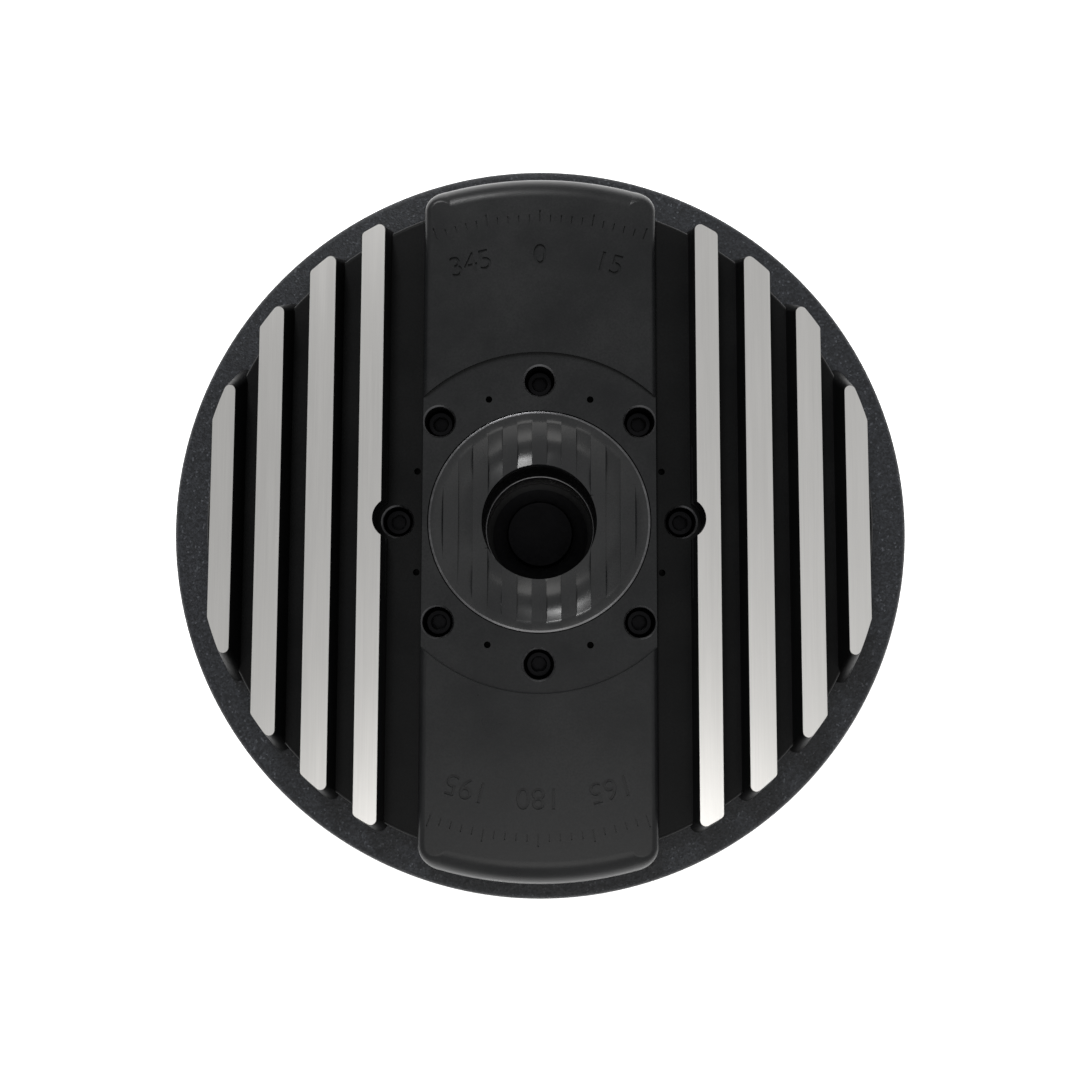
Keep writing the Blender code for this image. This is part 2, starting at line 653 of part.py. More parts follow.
def worm_bracket():
    """Two ears on a base, each with the seat of a worm bearing."""
    half_wide = WORM_BEARING_R + EAR_MARGIN
    outside = EAR_INSIDE + EAR_THICK
    top = WORM_Z + half_wide

    def draw_base(bm):
        add_box(bm, (-outside, WORM_Y - half_wide, HOUSING_LOW),
                (outside, WORM_Y + half_wide, PLATE_TOP + BRACKET_BASE))

    def draw_ears(bm):
        for low in (-outside, EAR_INSIDE):
            add_box(bm, (low, WORM_Y - half_wide, HOUSING_LOW),
                    (low + EAR_THICK, WORM_Y + half_wide, top))

    bracket = solid("worm_bracket", draw_base, ALUMINIUM)
    boolean(bracket, solid("bracket_ears", draw_ears), "UNION")
    drill(bracket, [(WORM_Y, WORM_Z)], WORM_BEARING_R + SEAT, -outside - RUN, outside + RUN,
          "X", SMALL)
    drill(bracket, BRACKET_SCREWS, M3[0] + SEAT, HOUSING_LOW - RUN, PLATE_TOP + BRACKET_BASE + RUN,
          sides=TINY)
    for i, side in enumerate((-1, 1), 1):
        middle = side * (EAR_INSIDE + EAR_THICK / 2)
        half = EAR_THICK / 2 - SEAT
        turned(f"worm_bearing_{i}", [
            (WORM_BEARING_R, half), (WORM_BEARING_R, -half), (JOURNAL_R + SEAT, -half),
            (JOURNAL_R + SEAT, half)], SMALL, STEEL, "X", (middle, WORM_Y, WORM_Z))


def motor():
    """Gearmotor on its angle mount, with its shaft and the coupling to the worm."""
    coupling_low = EAR_INSIDE + EAR_THICK + RUN
    coupling_top = coupling_low + COUPLING_LONG
    join = SHAFT_JOIN + SEAT
    at = (0.0, WORM_Y, WORM_Z)
    turned("shaft_coupling", [
        (COUPLING_R, coupling_top), (COUPLING_R, coupling_low), (JOURNAL_R + SEAT, coupling_low),
        (JOURNAL_R + SEAT, join), (MOTOR_SHAFT_R + SEAT, join),
        (MOTOR_SHAFT_R + SEAT, coupling_top)], SMALL, ALUMINIUM, "X", at)
    mount_low = coupling_top + RUN
    face = mount_low + MOUNT_THICK + SEAT
    shaft_end = face + MOTOR_LONG / 5
    solid("motor_shaft", lambda bm: add_cylinder(
        bm, MOTOR_SHAFT_R, join + SEAT, shaft_end, (WORM_Y, WORM_Z), "X"), STEEL)
    hole_r = MOTOR_SHAFT_R + SEAT
    turned("gearmotor", [
        (0.0, face + MOTOR_LONG), (MOTOR_R, face + MOTOR_LONG), (MOTOR_R, face),
        (MOTOR_BOSS_R, face), (MOTOR_BOSS_R, mount_low), (hole_r, mount_low),
        (hole_r, shaft_end + SEAT), (0.0, shaft_end + SEAT)], SMALL, BLACK_STEEL, "X", at)

    def draw_plate(bm):
        add_box(bm, (mount_low, WORM_Y - MOTOR_R, HOUSING_LOW),
                (mount_low + MOUNT_THICK, WORM_Y + MOTOR_R, WORM_Z + MOTOR_R))

    def draw_foot(bm):
        add_box(bm, (mount_low + MOUNT_THICK / 2, WORM_Y - MOTOR_R, HOUSING_LOW),
                (mount_low + MOTOR_LONG / 2, WORM_Y + MOTOR_R, HOUSING_LOW + MOUNT_THICK))

    mount = solid("motor_mount", draw_plate, ALUMINIUM)
    boolean(mount, solid("mount_foot", draw_foot), "UNION")
    drill(mount, [(WORM_Y, WORM_Z)], MOTOR_BOSS_R + SEAT, mount_low - RUN,
          mount_low + MOUNT_THICK + RUN, "X")


def bridge_profile():
    """The bridge's section through the axis: flat on top, and rolled over at its end."""
    arc = [(BRIDGE_R - BRIDGE_ROLL * (1 - math.sin(math.radians(a))),
            BRIDGE_Z - BRIDGE_ROLL * (1 - math.cos(math.radians(a)))) for a in (0, 30, 60, 90)]
    low = TABLE_LOW + SEAT
    return [(0.0, BRIDGE_Z), *arc, (BRIDGE_R, low), (0.0, low)]


def bridge():
    """Wide band across the table: a turned disc trimmed to the band's width."""
    disc = turned("bridge_disc", bridge_profile(), LARGE)
    band = solid("bridge_band", lambda bm: add_box(
        bm, (-BRIDGE_HALF, -BRIDGE_R - RUN, TABLE_LOW),
        (BRIDGE_HALF, BRIDGE_R + RUN, BRIDGE_Z)))
    rounding = band.modifiers.new("edges", "BEVEL")
    rounding.width = BRIDGE_EDGE
    rounding.segments = 2
    rounding.limit_method = "WEIGHT"
    weights = band.data.attributes.new("bevel_weight_edge", "FLOAT", "EDGE")
    for edge in band.data.edges:
        ends = [band.data.vertices[i].co for i in edge.vertices]
        is_long_top = all(end.z > FLOOR_Z for end in ends) and ends[0].x * ends[1].x > 0
        weights.data[edge.index].value = float(is_long_top)
    boolean(disc, band, "INTERSECT")
    return disc


def fins():
    """Eight straight fins with drafted sides, ended on a cone."""
    low = TABLE_LOW + 2 * SEAT

    def draw(bm):
        for centre, width in FINS:
            for side in (-1, 1):
                start = len(bm.verts)
                add_box(bm, (side * centre - width / 2, -BASE_R, low),
                        (side * centre + width / 2, BASE_R, FIN_Z))
                bm.verts.ensure_lookup_table()
                for vertex in bm.verts[start:]:
                    if vertex.co.z < FLOOR_Z:
                        vertex.co.x += math.copysign(FIN_DRAFT, vertex.co.x - side * centre)

    block = solid("fin_block", draw)
    cone = turned("fin_ends", [
        (0.0, FIN_Z + RUN), (FIN_TOP_R, FIN_Z + RUN), (FIN_TOP_R, FIN_Z),
        (FIN_FOOT_R, TABLE_LOW), (0.0, TABLE_LOW)], LARGE)
    boolean(block, cone, "INTERSECT")
    return block


def turntable_casting():
    """Finned table on a boss that reaches through the deck to the spindle's flange."""
    pocket_top = TABLE_LOW + POCKET_DEPTH
    pocket_r = TABLE_R - POCKET_WALL
    pocket_in = BOSS_R + POCKET_WALL
    table = turned("turntable_casting", [
        (TABLE_R, FLOOR_Z), (TABLE_R, TABLE_LOW), (pocket_r, TABLE_LOW), (pocket_r, pocket_top),
        (pocket_in, pocket_top), (pocket_in, TABLE_LOW), (BOSS_R, TABLE_LOW),
        (BOSS_R, BOSS_LOW), (SPINDLE_BORE, BOSS_LOW), (SPINDLE_BORE, FLOOR_Z)],
        LARGE, SATIN)
    boolean(table, bridge(), "UNION")
    boolean(table, fins(), "UNION")
    above = FIN_Z + RUN
    drill(table, [(0.0, 0.0)], SPOTFACE_R, HUB_Z, BRIDGE_Z + RUN, sides=LARGE)
    drill(table, [(0.0, 0.0)], HUB_R + SEAT, HUB_SEAT, above, sides=MEDIUM)
    drill(table, [(0.0, 0.0)], SPINDLE_BORE, BOSS_LOW - RUN, above, sides=MEDIUM)
    drill(table, BOLTS, COUNTERBORE_R, HUB_Z - COUNTERBORE_DEPTH, above)
    drill(table, BOLTS, M5[0] + SEAT, BOSS_LOW - RUN, above, sides=TINY)
    drill(table, [polar(BOLT_CIRCLE, 0), polar(BOLT_CIRCLE, 180)], TOOL_NOTCH_R, FLOOR_Z, above,
          sides=SMALL)
    drill(table, PINS, PIN_HOLE_R, FLOOR_Z - PIN_DEPTH, above, sides=TINY)
    for i, point in enumerate(BOLTS, 1):
        screw(f"cap_screw_{i}", M5, HUB_Z - COUNTERBORE_DEPTH, FLANGE_LOW + 2 * RUN, point,
              BLACK_STEEL, key=True)


def hub_ring():
    """Dished ring round the bore. Its hole is the bore's own size."""
    dish = [(BORE_R + (HUB_R - BORE_R) * share, HUB_Z - RUN - HUB_DISH * math.sin(math.pi * share))
            for share in (0.94, 0.75, 0.5, 0.25, 0.06)]
    low = HUB_SEAT + SEAT
    turned("hub_ring", [
        (HUB_R - RUN, HUB_Z), (HUB_R, HUB_Z), (HUB_R, low), (BORE_R, low),
        (BORE_R, HUB_Z - 2 * RUN), *dish[::-1]], MEDIUM, SATIN)


def bore_liner():
    """Glossy sleeve inside the spindle, under the hub ring."""
    top = HUB_SEAT
    low = HUB_Z - LINER_DEPTH
    outside = BORE_R + LINER_WALL
    turned("bore_liner", [(outside, top), (outside, low), (BORE_R, low), (BORE_R, top)],
           MEDIUM, GLOSS)


def panel_piece(name, size, at_x, material, pocket=None):
    """A rectangular fitting in the side panel: bezel outside, body inside, and a pocket."""
    half_x, half_z = size[0] / 2, size[1] / 2
    bezel_back = PANEL_FACE - SEAT
    front = bezel_back - BEZEL
    made = solid(name, lambda bm: add_box(
        bm, (at_x - half_x - RUN, front, PANEL_Z - half_z - RUN),
        (at_x + half_x + RUN, bezel_back, PANEL_Z + half_z + RUN)), material)
    boolean(made, solid(name + "_body", lambda bm: add_box(
        bm, (at_x - half_x, bezel_back - BEZEL / 2, PANEL_Z - half_z),
        (at_x + half_x, bezel_back + SOCKET_DEPTH, PANEL_Z + half_z))), "UNION")
    wide, high, deep = pocket
    boolean(made, solid(name + "_pocket", lambda bm: add_box(
        bm, (at_x - wide / 2, front - RUN, PANEL_Z - high / 2),
        (at_x + wide / 2, front + deep, PANEL_Z + high / 2))))
    return made


def side_panel():
    """Panel plate with its sockets, switch, lamp and screws."""
    plate = solid("side_panel", lambda bm: add_box(
        bm, (-PANEL_HALF, PANEL_FACE, PANEL_Z - PANEL_HEIGHT / 2),
        (PANEL_HALF, PANEL_Y - SEAT, PANEL_Z + PANEL_HEIGHT / 2)), PLASTIC)

    def draw_holes(bm):
        for (wide, high), x in ((HANDSET_SIZE, HANDSET_X), (SWITCH_SIZE, SWITCH_X)):
            add_box(bm, (x - wide / 2 - SEAT, PANEL_FACE - RUN, PANEL_Z - high / 2 - SEAT),
                    (x + wide / 2 + SEAT, PANEL_Y + RUN, PANEL_Z + high / 2 + SEAT))

    boolean(plate, solid("panel_holes", draw_holes))
    ends = (PANEL_FACE - RUN, PANEL_Y + RUN, "Y")
    drill(plate, [(POWER_X, PANEL_Z)], POWER_R + SEAT, *ends, SMALL)
    drill(plate, [(LENS_X, PANEL_Z + LENS_RISE)], LENS_R + SEAT, *ends, TINY)
    screws = [(x, PANEL_Z) for x in (-PANEL_SCREW_X, PANEL_SCREW_X)]
    drill(plate, screws, M2[0] + SEAT, *ends, TINY)

    panel_piece("handset_socket", HANDSET_SIZE, HANDSET_X, PLASTIC, (*PORT_SIZE, 0.010))
    wide, high = SWITCH_SIZE
    panel_piece("switch_body", SWITCH_SIZE, SWITCH_X, PLASTIC, (wide - 2 * RUN, high - 2 * RUN, 0.007))
    power_socket()
    rocker()
    solid("status_lens", lambda bm: add_cylinder(
        bm, LENS_R, PANEL_FACE - RUN / 2, PANEL_Y - SEAT, (LENS_X, PANEL_Z + LENS_RISE), "Y", TINY), LENS)
    for i, (x, z) in enumerate(screws, 1):
        head_back = PANEL_FACE - SEAT
        head = solid(f"panel_screw_{i}", lambda bm, at=(x, z), back=head_back: add_cylinder(
            bm, M2[1], back - M2[2], back, at, "Y"), BLACK_STEEL)
        shank = solid(f"panel_shank_{i}", lambda bm, at=(x, z), back=head_back: add_cylinder(
            bm, M2[0], back - M2[2] / 2, PANEL_Y + PAD_THICK - 2 * RUN, at, "Y", TINY))
        boolean(head, shank, "UNION")


def power_socket():
    """Round power inlet with a centre pin."""
    bezel_r = POWER_R + RUN
    back = SOCKET_DEPTH
    hole_r = POWER_R - 2 * RUN
    hole = SOCKET_DEPTH - 3 * RUN
    turned("power_socket", [
        (0.0, back), (POWER_R, back), (POWER_R, 0.0), (bezel_r, 0.0), (bezel_r, -BEZEL),
        (hole_r, -BEZEL), (hole_r, hole), (RUN, hole), (RUN, RUN), (0.0, RUN)],
        SMALL, PLASTIC, "Y", (POWER_X, PANEL_FACE - SEAT, PANEL_Z))


def rocker():
    """Rocker of the power switch, stored tipped to its off side."""
    wide = SWITCH_SIZE[0] / 2 - RUN - SEAT
    high = SWITCH_SIZE[1] / 2 - 2.3 * RUN
    front = ((-0.0042, high), (-0.0028, 0.0), (-0.0042, -high))
    back = ((0.0014, -high + RUN), (0.0014, high - RUN))
    outline = [(z, -y) for y, z in (*front, *back)]
    flat = outline_curve("rocker_outline", [outline], 2 * wide)
    pivot = Vector((SWITCH_X, PANEL_FACE + PANEL_THICK / 2, PANEL_Z))
    stand = Matrix(((0, 0, 1, 0), (0, -1, 0, 0), (1, 0, 0, 0), (0, 0, 0, 1)))
    flat.matrix_world = Matrix.Translation(pivot) @ Matrix.Rotation(-ROCKER_TILT, 4, "X") @ stand
    baked(flat, "power_rocker", PLASTIC)


def control_board():
    """Board on the bottom plate's posts, with its chips and connectors."""
    wide, deep, thick = BOARD_SIZE
    low = PLATE_TOP + POST_HEIGHT + SEAT
    top = low + thick
    board = solid("control_board", lambda bm: add_box(
        bm, (-wide / 2, BOARD_Y - deep / 2, low), (wide / 2, BOARD_Y + deep / 2, top)), CIRCUIT)

    def draw_chips(bm):
        for x, y, long, broad, high in ((-0.020, 0.004, 0.012, 0.012, 0.0012),
                                        (0.004, -0.003, 0.009, 0.007, 0.0012),
                                        (0.021, 0.006, 0.010, 0.005, 0.0050)):
            add_box(bm, (x - long / 2, BOARD_Y + y - broad / 2, low + thick / 2),
                    (x + long / 2, BOARD_Y + y + broad / 2, top + high))

    boolean(board, solid("board_chips", draw_chips), "UNION")


bottom_plate()
tripod_insert()
feet()
base_housing()
base_screws()
bearing_tower()
spindle()
ball_bearing()
lower_bush_and_nut()
worm_wheel()
worm()
worm_bracket()
motor()
turntable_casting()
hub_ring()
bore_liner()
side_panel()
control_board()
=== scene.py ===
# %% [markdown]
# # Azimuth drive head of an alt azimuth mount
# The frame holds the engineered solids of the mount: every piece at its real size and place.
# This lesson dresses them. Each visible piece is modelled again with its fine shape (rounded
# edges, flutes, knurls, engraving), and every piece gets a node material with grain and wear.

# %% Load the frame
import json
import math
import bmesh
import bpy
from mathutils import Matrix, Vector


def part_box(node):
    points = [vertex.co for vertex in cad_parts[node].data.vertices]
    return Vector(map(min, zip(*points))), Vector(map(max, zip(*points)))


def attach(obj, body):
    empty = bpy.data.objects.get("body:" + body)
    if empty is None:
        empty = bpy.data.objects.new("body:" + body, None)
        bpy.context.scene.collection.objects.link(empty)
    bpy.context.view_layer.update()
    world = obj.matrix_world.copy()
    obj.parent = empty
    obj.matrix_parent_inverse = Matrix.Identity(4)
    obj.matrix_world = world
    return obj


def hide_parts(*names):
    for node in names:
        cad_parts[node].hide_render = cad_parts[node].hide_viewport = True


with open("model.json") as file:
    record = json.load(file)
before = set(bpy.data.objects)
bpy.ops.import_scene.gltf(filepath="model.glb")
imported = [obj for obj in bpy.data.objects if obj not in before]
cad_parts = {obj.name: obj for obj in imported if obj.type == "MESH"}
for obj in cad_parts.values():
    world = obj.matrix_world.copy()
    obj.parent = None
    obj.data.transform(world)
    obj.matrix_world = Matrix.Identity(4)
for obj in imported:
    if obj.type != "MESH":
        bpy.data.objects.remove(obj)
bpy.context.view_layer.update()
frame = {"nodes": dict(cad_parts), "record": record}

# %% [markdown]
# ## Sizes
# Heights and radii come from the solids themselves, so the looks always fit the engineering.
# Only what a bounding box can't tell, such as the floor of the channels, is written as a step
# from one of those heights.

# %% Heights and radii from the frame
BASE_LOW, BASE_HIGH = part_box("base_housing")
CAST_LOW, CAST_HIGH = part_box("turntable_casting")
HUB_LOW, HUB_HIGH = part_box("hub_ring")
RIM_Z = BASE_HIGH.z
BASE_R = BASE_HIGH.x
FIN_Z = CAST_HIGH.z
BRIDGE_R = CAST_HIGH.y
HUB_Z = HUB_HIGH.z
HUB_R = HUB_HIGH.x
FLOOR_Z = HUB_Z - 0.0024
BRIDGE_Z = HUB_Z + 0.0012
TABLE_LOW = FLOOR_Z - 0.0066
TABLE_R = CAST_HIGH.x
LINER_WALL = 0.0011
BORE_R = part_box("bore_liner")[1].x - LINER_WALL
LINER_HOLE_R = BORE_R + 0.0014
BOLT_CIRCLE = 0.0421
BOLT_COUNT = 8
ROUND = 192              # sides of the large turned pieces
WELD = 1e-6              # points this close are merged
PAST = 0.001             # how far a cutter reaches past what it cuts
print(f"rim {RIM_Z*1e3:.1f} mm, hub {HUB_Z*1e3:.1f} mm, fin tops {FIN_Z*1e3:.1f} mm")

# %% [markdown]
# ## Node helpers
# A material is a small network. `node` adds one node, sets its properties, and either links
# or fills each named input, so a whole finish can be read as a few lines.

# %% Helpers for materials
def node(tree, kind, inputs=None, **settings):
    """Add a node. Inputs that are sockets are linked, and the others are set."""
    made = tree.nodes.new(kind)
    for key, value in settings.items():
        setattr(made, key, value)
    for key, value in (inputs or {}).items():
        if isinstance(value, bpy.types.NodeSocket):
            tree.links.new(value, made.inputs[key])
        else:
            made.inputs[key].default_value = value
    return made


def material(name, roughness, metallic=0.0):
    """A material with its shader node, and object coordinates in metres."""
    made = bpy.data.materials.new(name)
    made.use_nodes = True
    tree = made.node_tree
    shader = tree.nodes["Principled BSDF"]
    shader.inputs["Roughness"].default_value = roughness
    shader.inputs["Metallic"].default_value = metallic
    place = node(tree, "ShaderNodeTexCoord").outputs["Object"]
    return made, tree, shader, place


def grain(tree, place, scale, stretch=(1, 1, 1), detail=4.0, rough=0.6):
    """Noise whose cells are 1/scale metres, stretched along some axes."""
    mapped = node(tree, "ShaderNodeMapping", {"Vector": place, "Scale": stretch})
    return node(tree, "ShaderNodeTexNoise", {
        "Vector": mapped.outputs["Vector"], "Scale": scale, "Detail": detail,
        "Roughness": rough}).outputs["Fac"]


def spread(tree, value, low, high, from_low=0.3, from_high=0.7):
    """Map a noise value into a range."""
    return node(tree, "ShaderNodeMapRange", {
        "Value": value, "From Min": from_low, "From Max": from_high,
        "To Min": low, "To Max": high}).outputs["Result"]


def tint(tree, value, dark, light):
    """A colour between two, by a value from 0 to 1."""
    mixed = node(tree, "ShaderNodeMix", {"Factor": value}, data_type="RGBA")
    mixed.inputs["A"].default_value = (*dark, 1.0)
    mixed.inputs["B"].default_value = (*light, 1.0)
    return mixed.outputs["Result"]


def bump(tree, shader, height, distance, strength=1.0):
    """Raise or sink the surface by a height map, in metres."""
    bumped = node(tree, "ShaderNodeBump", {
        "Height": height, "Distance": distance, "Strength": strength})
    tree.links.new(bumped.outputs["Normal"], shader.inputs["Normal"])


# %% [markdown]
# ## Painted and bare metals
# The base wears a crinkle powder coat: small grains that catch the light, and a few specks
# painted lighter as glints. The casting wears a smooth satin paint that has the faint orange peel
# of a spray gun.
# The channels, holes and flute walls get a darker, duller paint, whose darker colour is painted
# shade, and the hub ring is glossier.
# The fins' tops are milled bare after painting, so they show aluminium with a straight grain.

# %% Crinkle coat of the base
def crinkle_coat(name):
    """Textured black powder coat: dull grains of many tones, and a few specks painted lighter as
    glints.
    """
    made, tree, shader, place = material(name, 0.5)
    shader.inputs["Specular IOR Level"].default_value = 0.34
    cells = node(tree, "ShaderNodeTexVoronoi", {"Vector": place, "Scale": 1900.0})
    own_tone = node(tree, "ShaderNodeSeparateColor", {"Color": cells.outputs["Color"]})
    fine = grain(tree, place, 2100.0, detail=5.0, rough=0.7)
    tone = node(tree, "ShaderNodeMath", {0: own_tone.outputs["Red"], 1: fine},
                operation="MULTIPLY").outputs["Value"]
    body = tint(tree, spread(tree, tone, 0.0, 1.0, 0.10, 0.55), (0.0045, 0.0052, 0.0066),
                (0.0175, 0.0192, 0.0230))
    # A few specks are painted lighter than the coat, as glints.
    painted_glint = spread(tree, own_tone.outputs["Green"], 0.0, 1.0, 0.94, 0.99)
    shown = node(tree, "ShaderNodeMix", {"Factor": painted_glint, "A": body}, data_type="RGBA")
    shown.inputs["B"].default_value = (0.040, 0.043, 0.049, 1.0)
    tree.links.new(shown.outputs["Result"], shader.inputs["Base Color"])
    tree.links.new(spread(tree, own_tone.outputs["Blue"], 0.42, 0.60, 0.0, 1.0),
                   shader.inputs["Roughness"])
    height = node(tree, "ShaderNodeMath", {0: cells.outputs["Distance"], 1: fine},
                  operation="ADD").outputs["Value"]
    bump(tree, shader, height, 0.00009, 0.8)
    return made


COAT = crinkle_coat("crinkle_coat")


# %% Satin paint of the casting
def satin_paint(name, dark, light, roughness, shine):
    """Smooth black paint with faint orange peel and dust."""
    made, tree, shader, place = material(name, roughness)
    shader.inputs["Specular IOR Level"].default_value = shine
    cloud = grain(tree, place, 45.0, detail=3.0)
    dust = grain(tree, place, 1900.0, detail=2.0)
    mixed = node(tree, "ShaderNodeMath", {0: cloud, 1: dust}, operation="MULTIPLY")
    tone = spread(tree, mixed.outputs["Value"], 0.0, 1.0, 0.15, 0.38)
    tree.links.new(tint(tree, tone, dark, light), shader.inputs["Base Color"])
    tree.links.new(spread(tree, cloud, roughness - 0.04, roughness + 0.05),
                   shader.inputs["Roughness"])
    peel = grain(tree, place, 700.0, detail=2.0)
    bump(tree, shader, peel, 0.00002, 0.5)
    return made


BLACKS = (0.0060, 0.0063, 0.0067), (0.0105, 0.0108, 0.0112)
PAINT = satin_paint("satin_paint", *BLACKS, 0.31, 0.23)
HUB_PAINT = satin_paint("hub_paint", *BLACKS, 0.27, 0.46)
# Darker, duller paint for the channels, holes and flute walls: its darker colour is painted shade.
DULL_SHADED_PAINT = satin_paint("dull_paint_with_painted_shade", (0.0026, 0.0027, 0.0028), (0.0046, 0.0047, 0.0048), 0.40,
                   0.08)


# %% Bare metals with a machined grain
def machined(name, colour, roughness, stretch, scale=900.0, contrast=0.25, depth=0.000006,
             vary=0.09):
    """Bare metal whose tool marks run along the axis with the smallest stretch."""
    made, tree, shader, place = material(name, roughness, 1.0)
    lines = grain(tree, place, scale, stretch, detail=5.0, rough=0.7)
    wide = grain(tree, place, scale / 9, stretch, detail=2.0)
    both = node(tree, "ShaderNodeMath", {0: lines, 1: wide}, operation="MULTIPLY")
    tone = spread(tree, both.outputs["Value"], 0.0, 1.0, 0.12, 0.42)
    dark = [channel * (1 - contrast) for channel in colour]
    tree.links.new(tint(tree, tone, dark, colour), shader.inputs["Base Color"])
    tree.links.new(spread(tree, lines, roughness - vary, roughness + vary),
                   shader.inputs["Roughness"])
    bump(tree, shader, lines, depth, 0.6)
    return made


BARE = machined("bare_fin_top", (0.78, 0.77, 0.75), 0.30, (1.0, 0.015, 1.0), 2400.0, 0.09,
                0.0000015, 0.02)
ALUMINIUM = machined("machined_aluminium", (0.62, 0.63, 0.64), 0.34, (1, 1, 8))
STEEL = machined("ground_steel", (0.50, 0.50, 0.51), 0.28, (1, 1, 10))
BLACK_STEEL = machined("black_oxide", (0.012, 0.012, 0.013), 0.46, (1, 1, 3), depth=0.000003)
WORN = machined("worn_edge", (0.17, 0.17, 0.175), 0.36, (1, 1, 1), contrast=0.5)
BRASS = machined("machined_brass", (0.62, 0.44, 0.17), 0.30, (1, 1, 8))


# %% [markdown]
# ## Moulded parts
# Rubber and plastic have the even fine grain of their mould. The circuit board carries a
# pattern of copper under its green mask, and the lamp's lens is a clear tinted plastic.

# %% Rubber, plastic, board and lens
def moulded(name, dark, light, roughness, scale, depth):
    """Moulded material: fine even grain, and slow changes of tone."""
    made, tree, shader, place = material(name, roughness)
    fine = grain(tree, place, scale, detail=2.0)
    slow = grain(tree, place, scale / 30, detail=2.0)
    tree.links.new(tint(tree, spread(tree, slow, 0.0, 1.0), dark, light),
                   shader.inputs["Base Color"])
    tree.links.new(spread(tree, fine, roughness - 0.06, roughness + 0.06),
                   shader.inputs["Roughness"])
    bump(tree, shader, fine, depth, 0.7)
    return made


def circuit(name):
    """Green solder mask over copper tracks, with tinned pads."""
    made, tree, shader, place = material(name, 0.35)
    tracks = node(tree, "ShaderNodeTexBrick", {
        "Vector": place, "Scale": 260.0, "Mortar Size": 0.03, "Brick Width": 0.9,
        "Row Height": 0.35}).outputs["Fac"]
    mask = tint(tree, tracks, (0.010, 0.085, 0.030), (0.022, 0.150, 0.055))
    pads = node(tree, "ShaderNodeTexVoronoi", {"Vector": place, "Scale": 300.0})
    tinned = spread(tree, pads.outputs["Distance"], 1.0, 0.0, 0.10, 0.14)
    shown = node(tree, "ShaderNodeMix", {"Factor": tinned, "A": mask}, data_type="RGBA")
    shown.inputs["B"].default_value = (0.55, 0.55, 0.54, 1.0)
    tree.links.new(shown.outputs["Result"], shader.inputs["Base Color"])
    bump(tree, shader, tracks, 0.00003, 0.4)
    return made


GLOSS = moulded("gloss_black", (0.002, 0.002, 0.002), (0.004, 0.004, 0.004), 0.16, 900.0, 0.000002)
RUBBER = moulded("foot_rubber", (0.014, 0.014, 0.014), (0.026, 0.026, 0.026), 0.78, 2200.0, 0.00004)
PLASTIC = moulded("grained_plastic", (0.014, 0.014, 0.015), (0.024, 0.024, 0.025), 0.46, 2600.0,
                  0.00003)
BOARD = circuit("circuit_board")
LENS = moulded("red_lens", (0.42, 0.01, 0.01), (0.60, 0.02, 0.02), 0.14, 900.0, 0.000002)
LENS.node_tree.nodes["Principled BSDF"].inputs["Transmission Weight"].default_value = 0.4
print("finishes:", len(bpy.data.materials))

# %% [markdown]
# ## Mesh helpers
# A turned piece is a profile with a Screw modifier, as on a lathe. A cut is an exact Boolean,
# applied at once, so that the finished piece is a plain mesh. Every piece is closed by
# `piece_done`, which shades it and hands it to the frame.

# %% Turn, cut and finish
def new_piece(name, data, *materials):
    """Link an object of this data, with its materials."""
    made = bpy.data.objects.new(name, data)
    bpy.context.scene.collection.objects.link(made)
    for finish in materials:
        data.materials.append(finish)
    return made


def apply_modifiers(piece):
    """Replace the piece's mesh with its evaluated one."""
    bpy.context.view_layer.update()
    evaluated = piece.evaluated_get(bpy.context.evaluated_depsgraph_get())
    mesh = bpy.data.meshes.new_from_object(evaluated)
    piece.modifiers.clear()
    piece.data = mesh
    return piece


def clean(piece):
    """Merge doubles and turn the faces outwards."""
    bm = bmesh.new()
    bm.from_mesh(piece.data)
    bmesh.ops.remove_doubles(bm, verts=bm.verts, dist=WELD)
    bmesh.ops.recalc_face_normals(bm, faces=bm.faces)
    bm.to_mesh(piece.data)
    bm.free()
    return piece


def turned(name, profile, *materials, sides=ROUND, axis="Z", at=(0, 0, 0)):
    """Turn a profile of (radius, height). One that leaves the axis open is a ring."""
    count = len(profile)
    is_ring = profile[0][0] > 0 or profile[-1][0] > 0
    edges = [(i, (i + 1) % count) for i in range(count if is_ring else count - 1)]
    mesh = bpy.data.meshes.new(name)
    mesh.from_pydata([(radius, 0.0, height) for radius, height in profile], edges, [])
    made = new_piece(name, mesh, *materials)
    screw = made.modifiers.new("lathe", "SCREW")
    screw.steps = screw.render_steps = sides
    screw.use_merge_vertices = True
    screw.merge_threshold = WELD
    clean(apply_modifiers(made))
    turn = {"X": Matrix.Rotation(math.pi / 2, 4, "Y"), "Z": Matrix.Identity(4),
            "Y": Matrix.Rotation(-math.pi / 2, 4, "X")}[axis]
    made.data.transform(Matrix.Translation(at) @ turn)
    return made


def corner(centre, radius, start, end, steps=6):
    """Points on an arc, for rounded corners of a profile. Angles are in degrees."""
    angles = [math.radians(start + (end - start) * i / steps) for i in range(steps + 1)]
    return [(centre[0] + radius * math.cos(a), centre[1] + radius * math.sin(a)) for a in angles]


def boolean(piece, tool, operation="DIFFERENCE"):
    """Cut or join at once, and drop the tool."""
    modifier = piece.modifiers.new("boolean", "BOOLEAN")
    modifier.operation = operation
    modifier.solver = "EXACT"
    modifier.object = tool
    apply_modifiers(piece)
    bpy.data.objects.remove(tool)


def draw(name, paint, *materials):
    """A mesh object drawn by a function into an empty bmesh."""
    bm = bmesh.new()
    paint(bm)
    mesh = bpy.data.meshes.new(name)
    bm.to_mesh(mesh)
    bm.free()
    return new_piece(name, mesh, *materials)


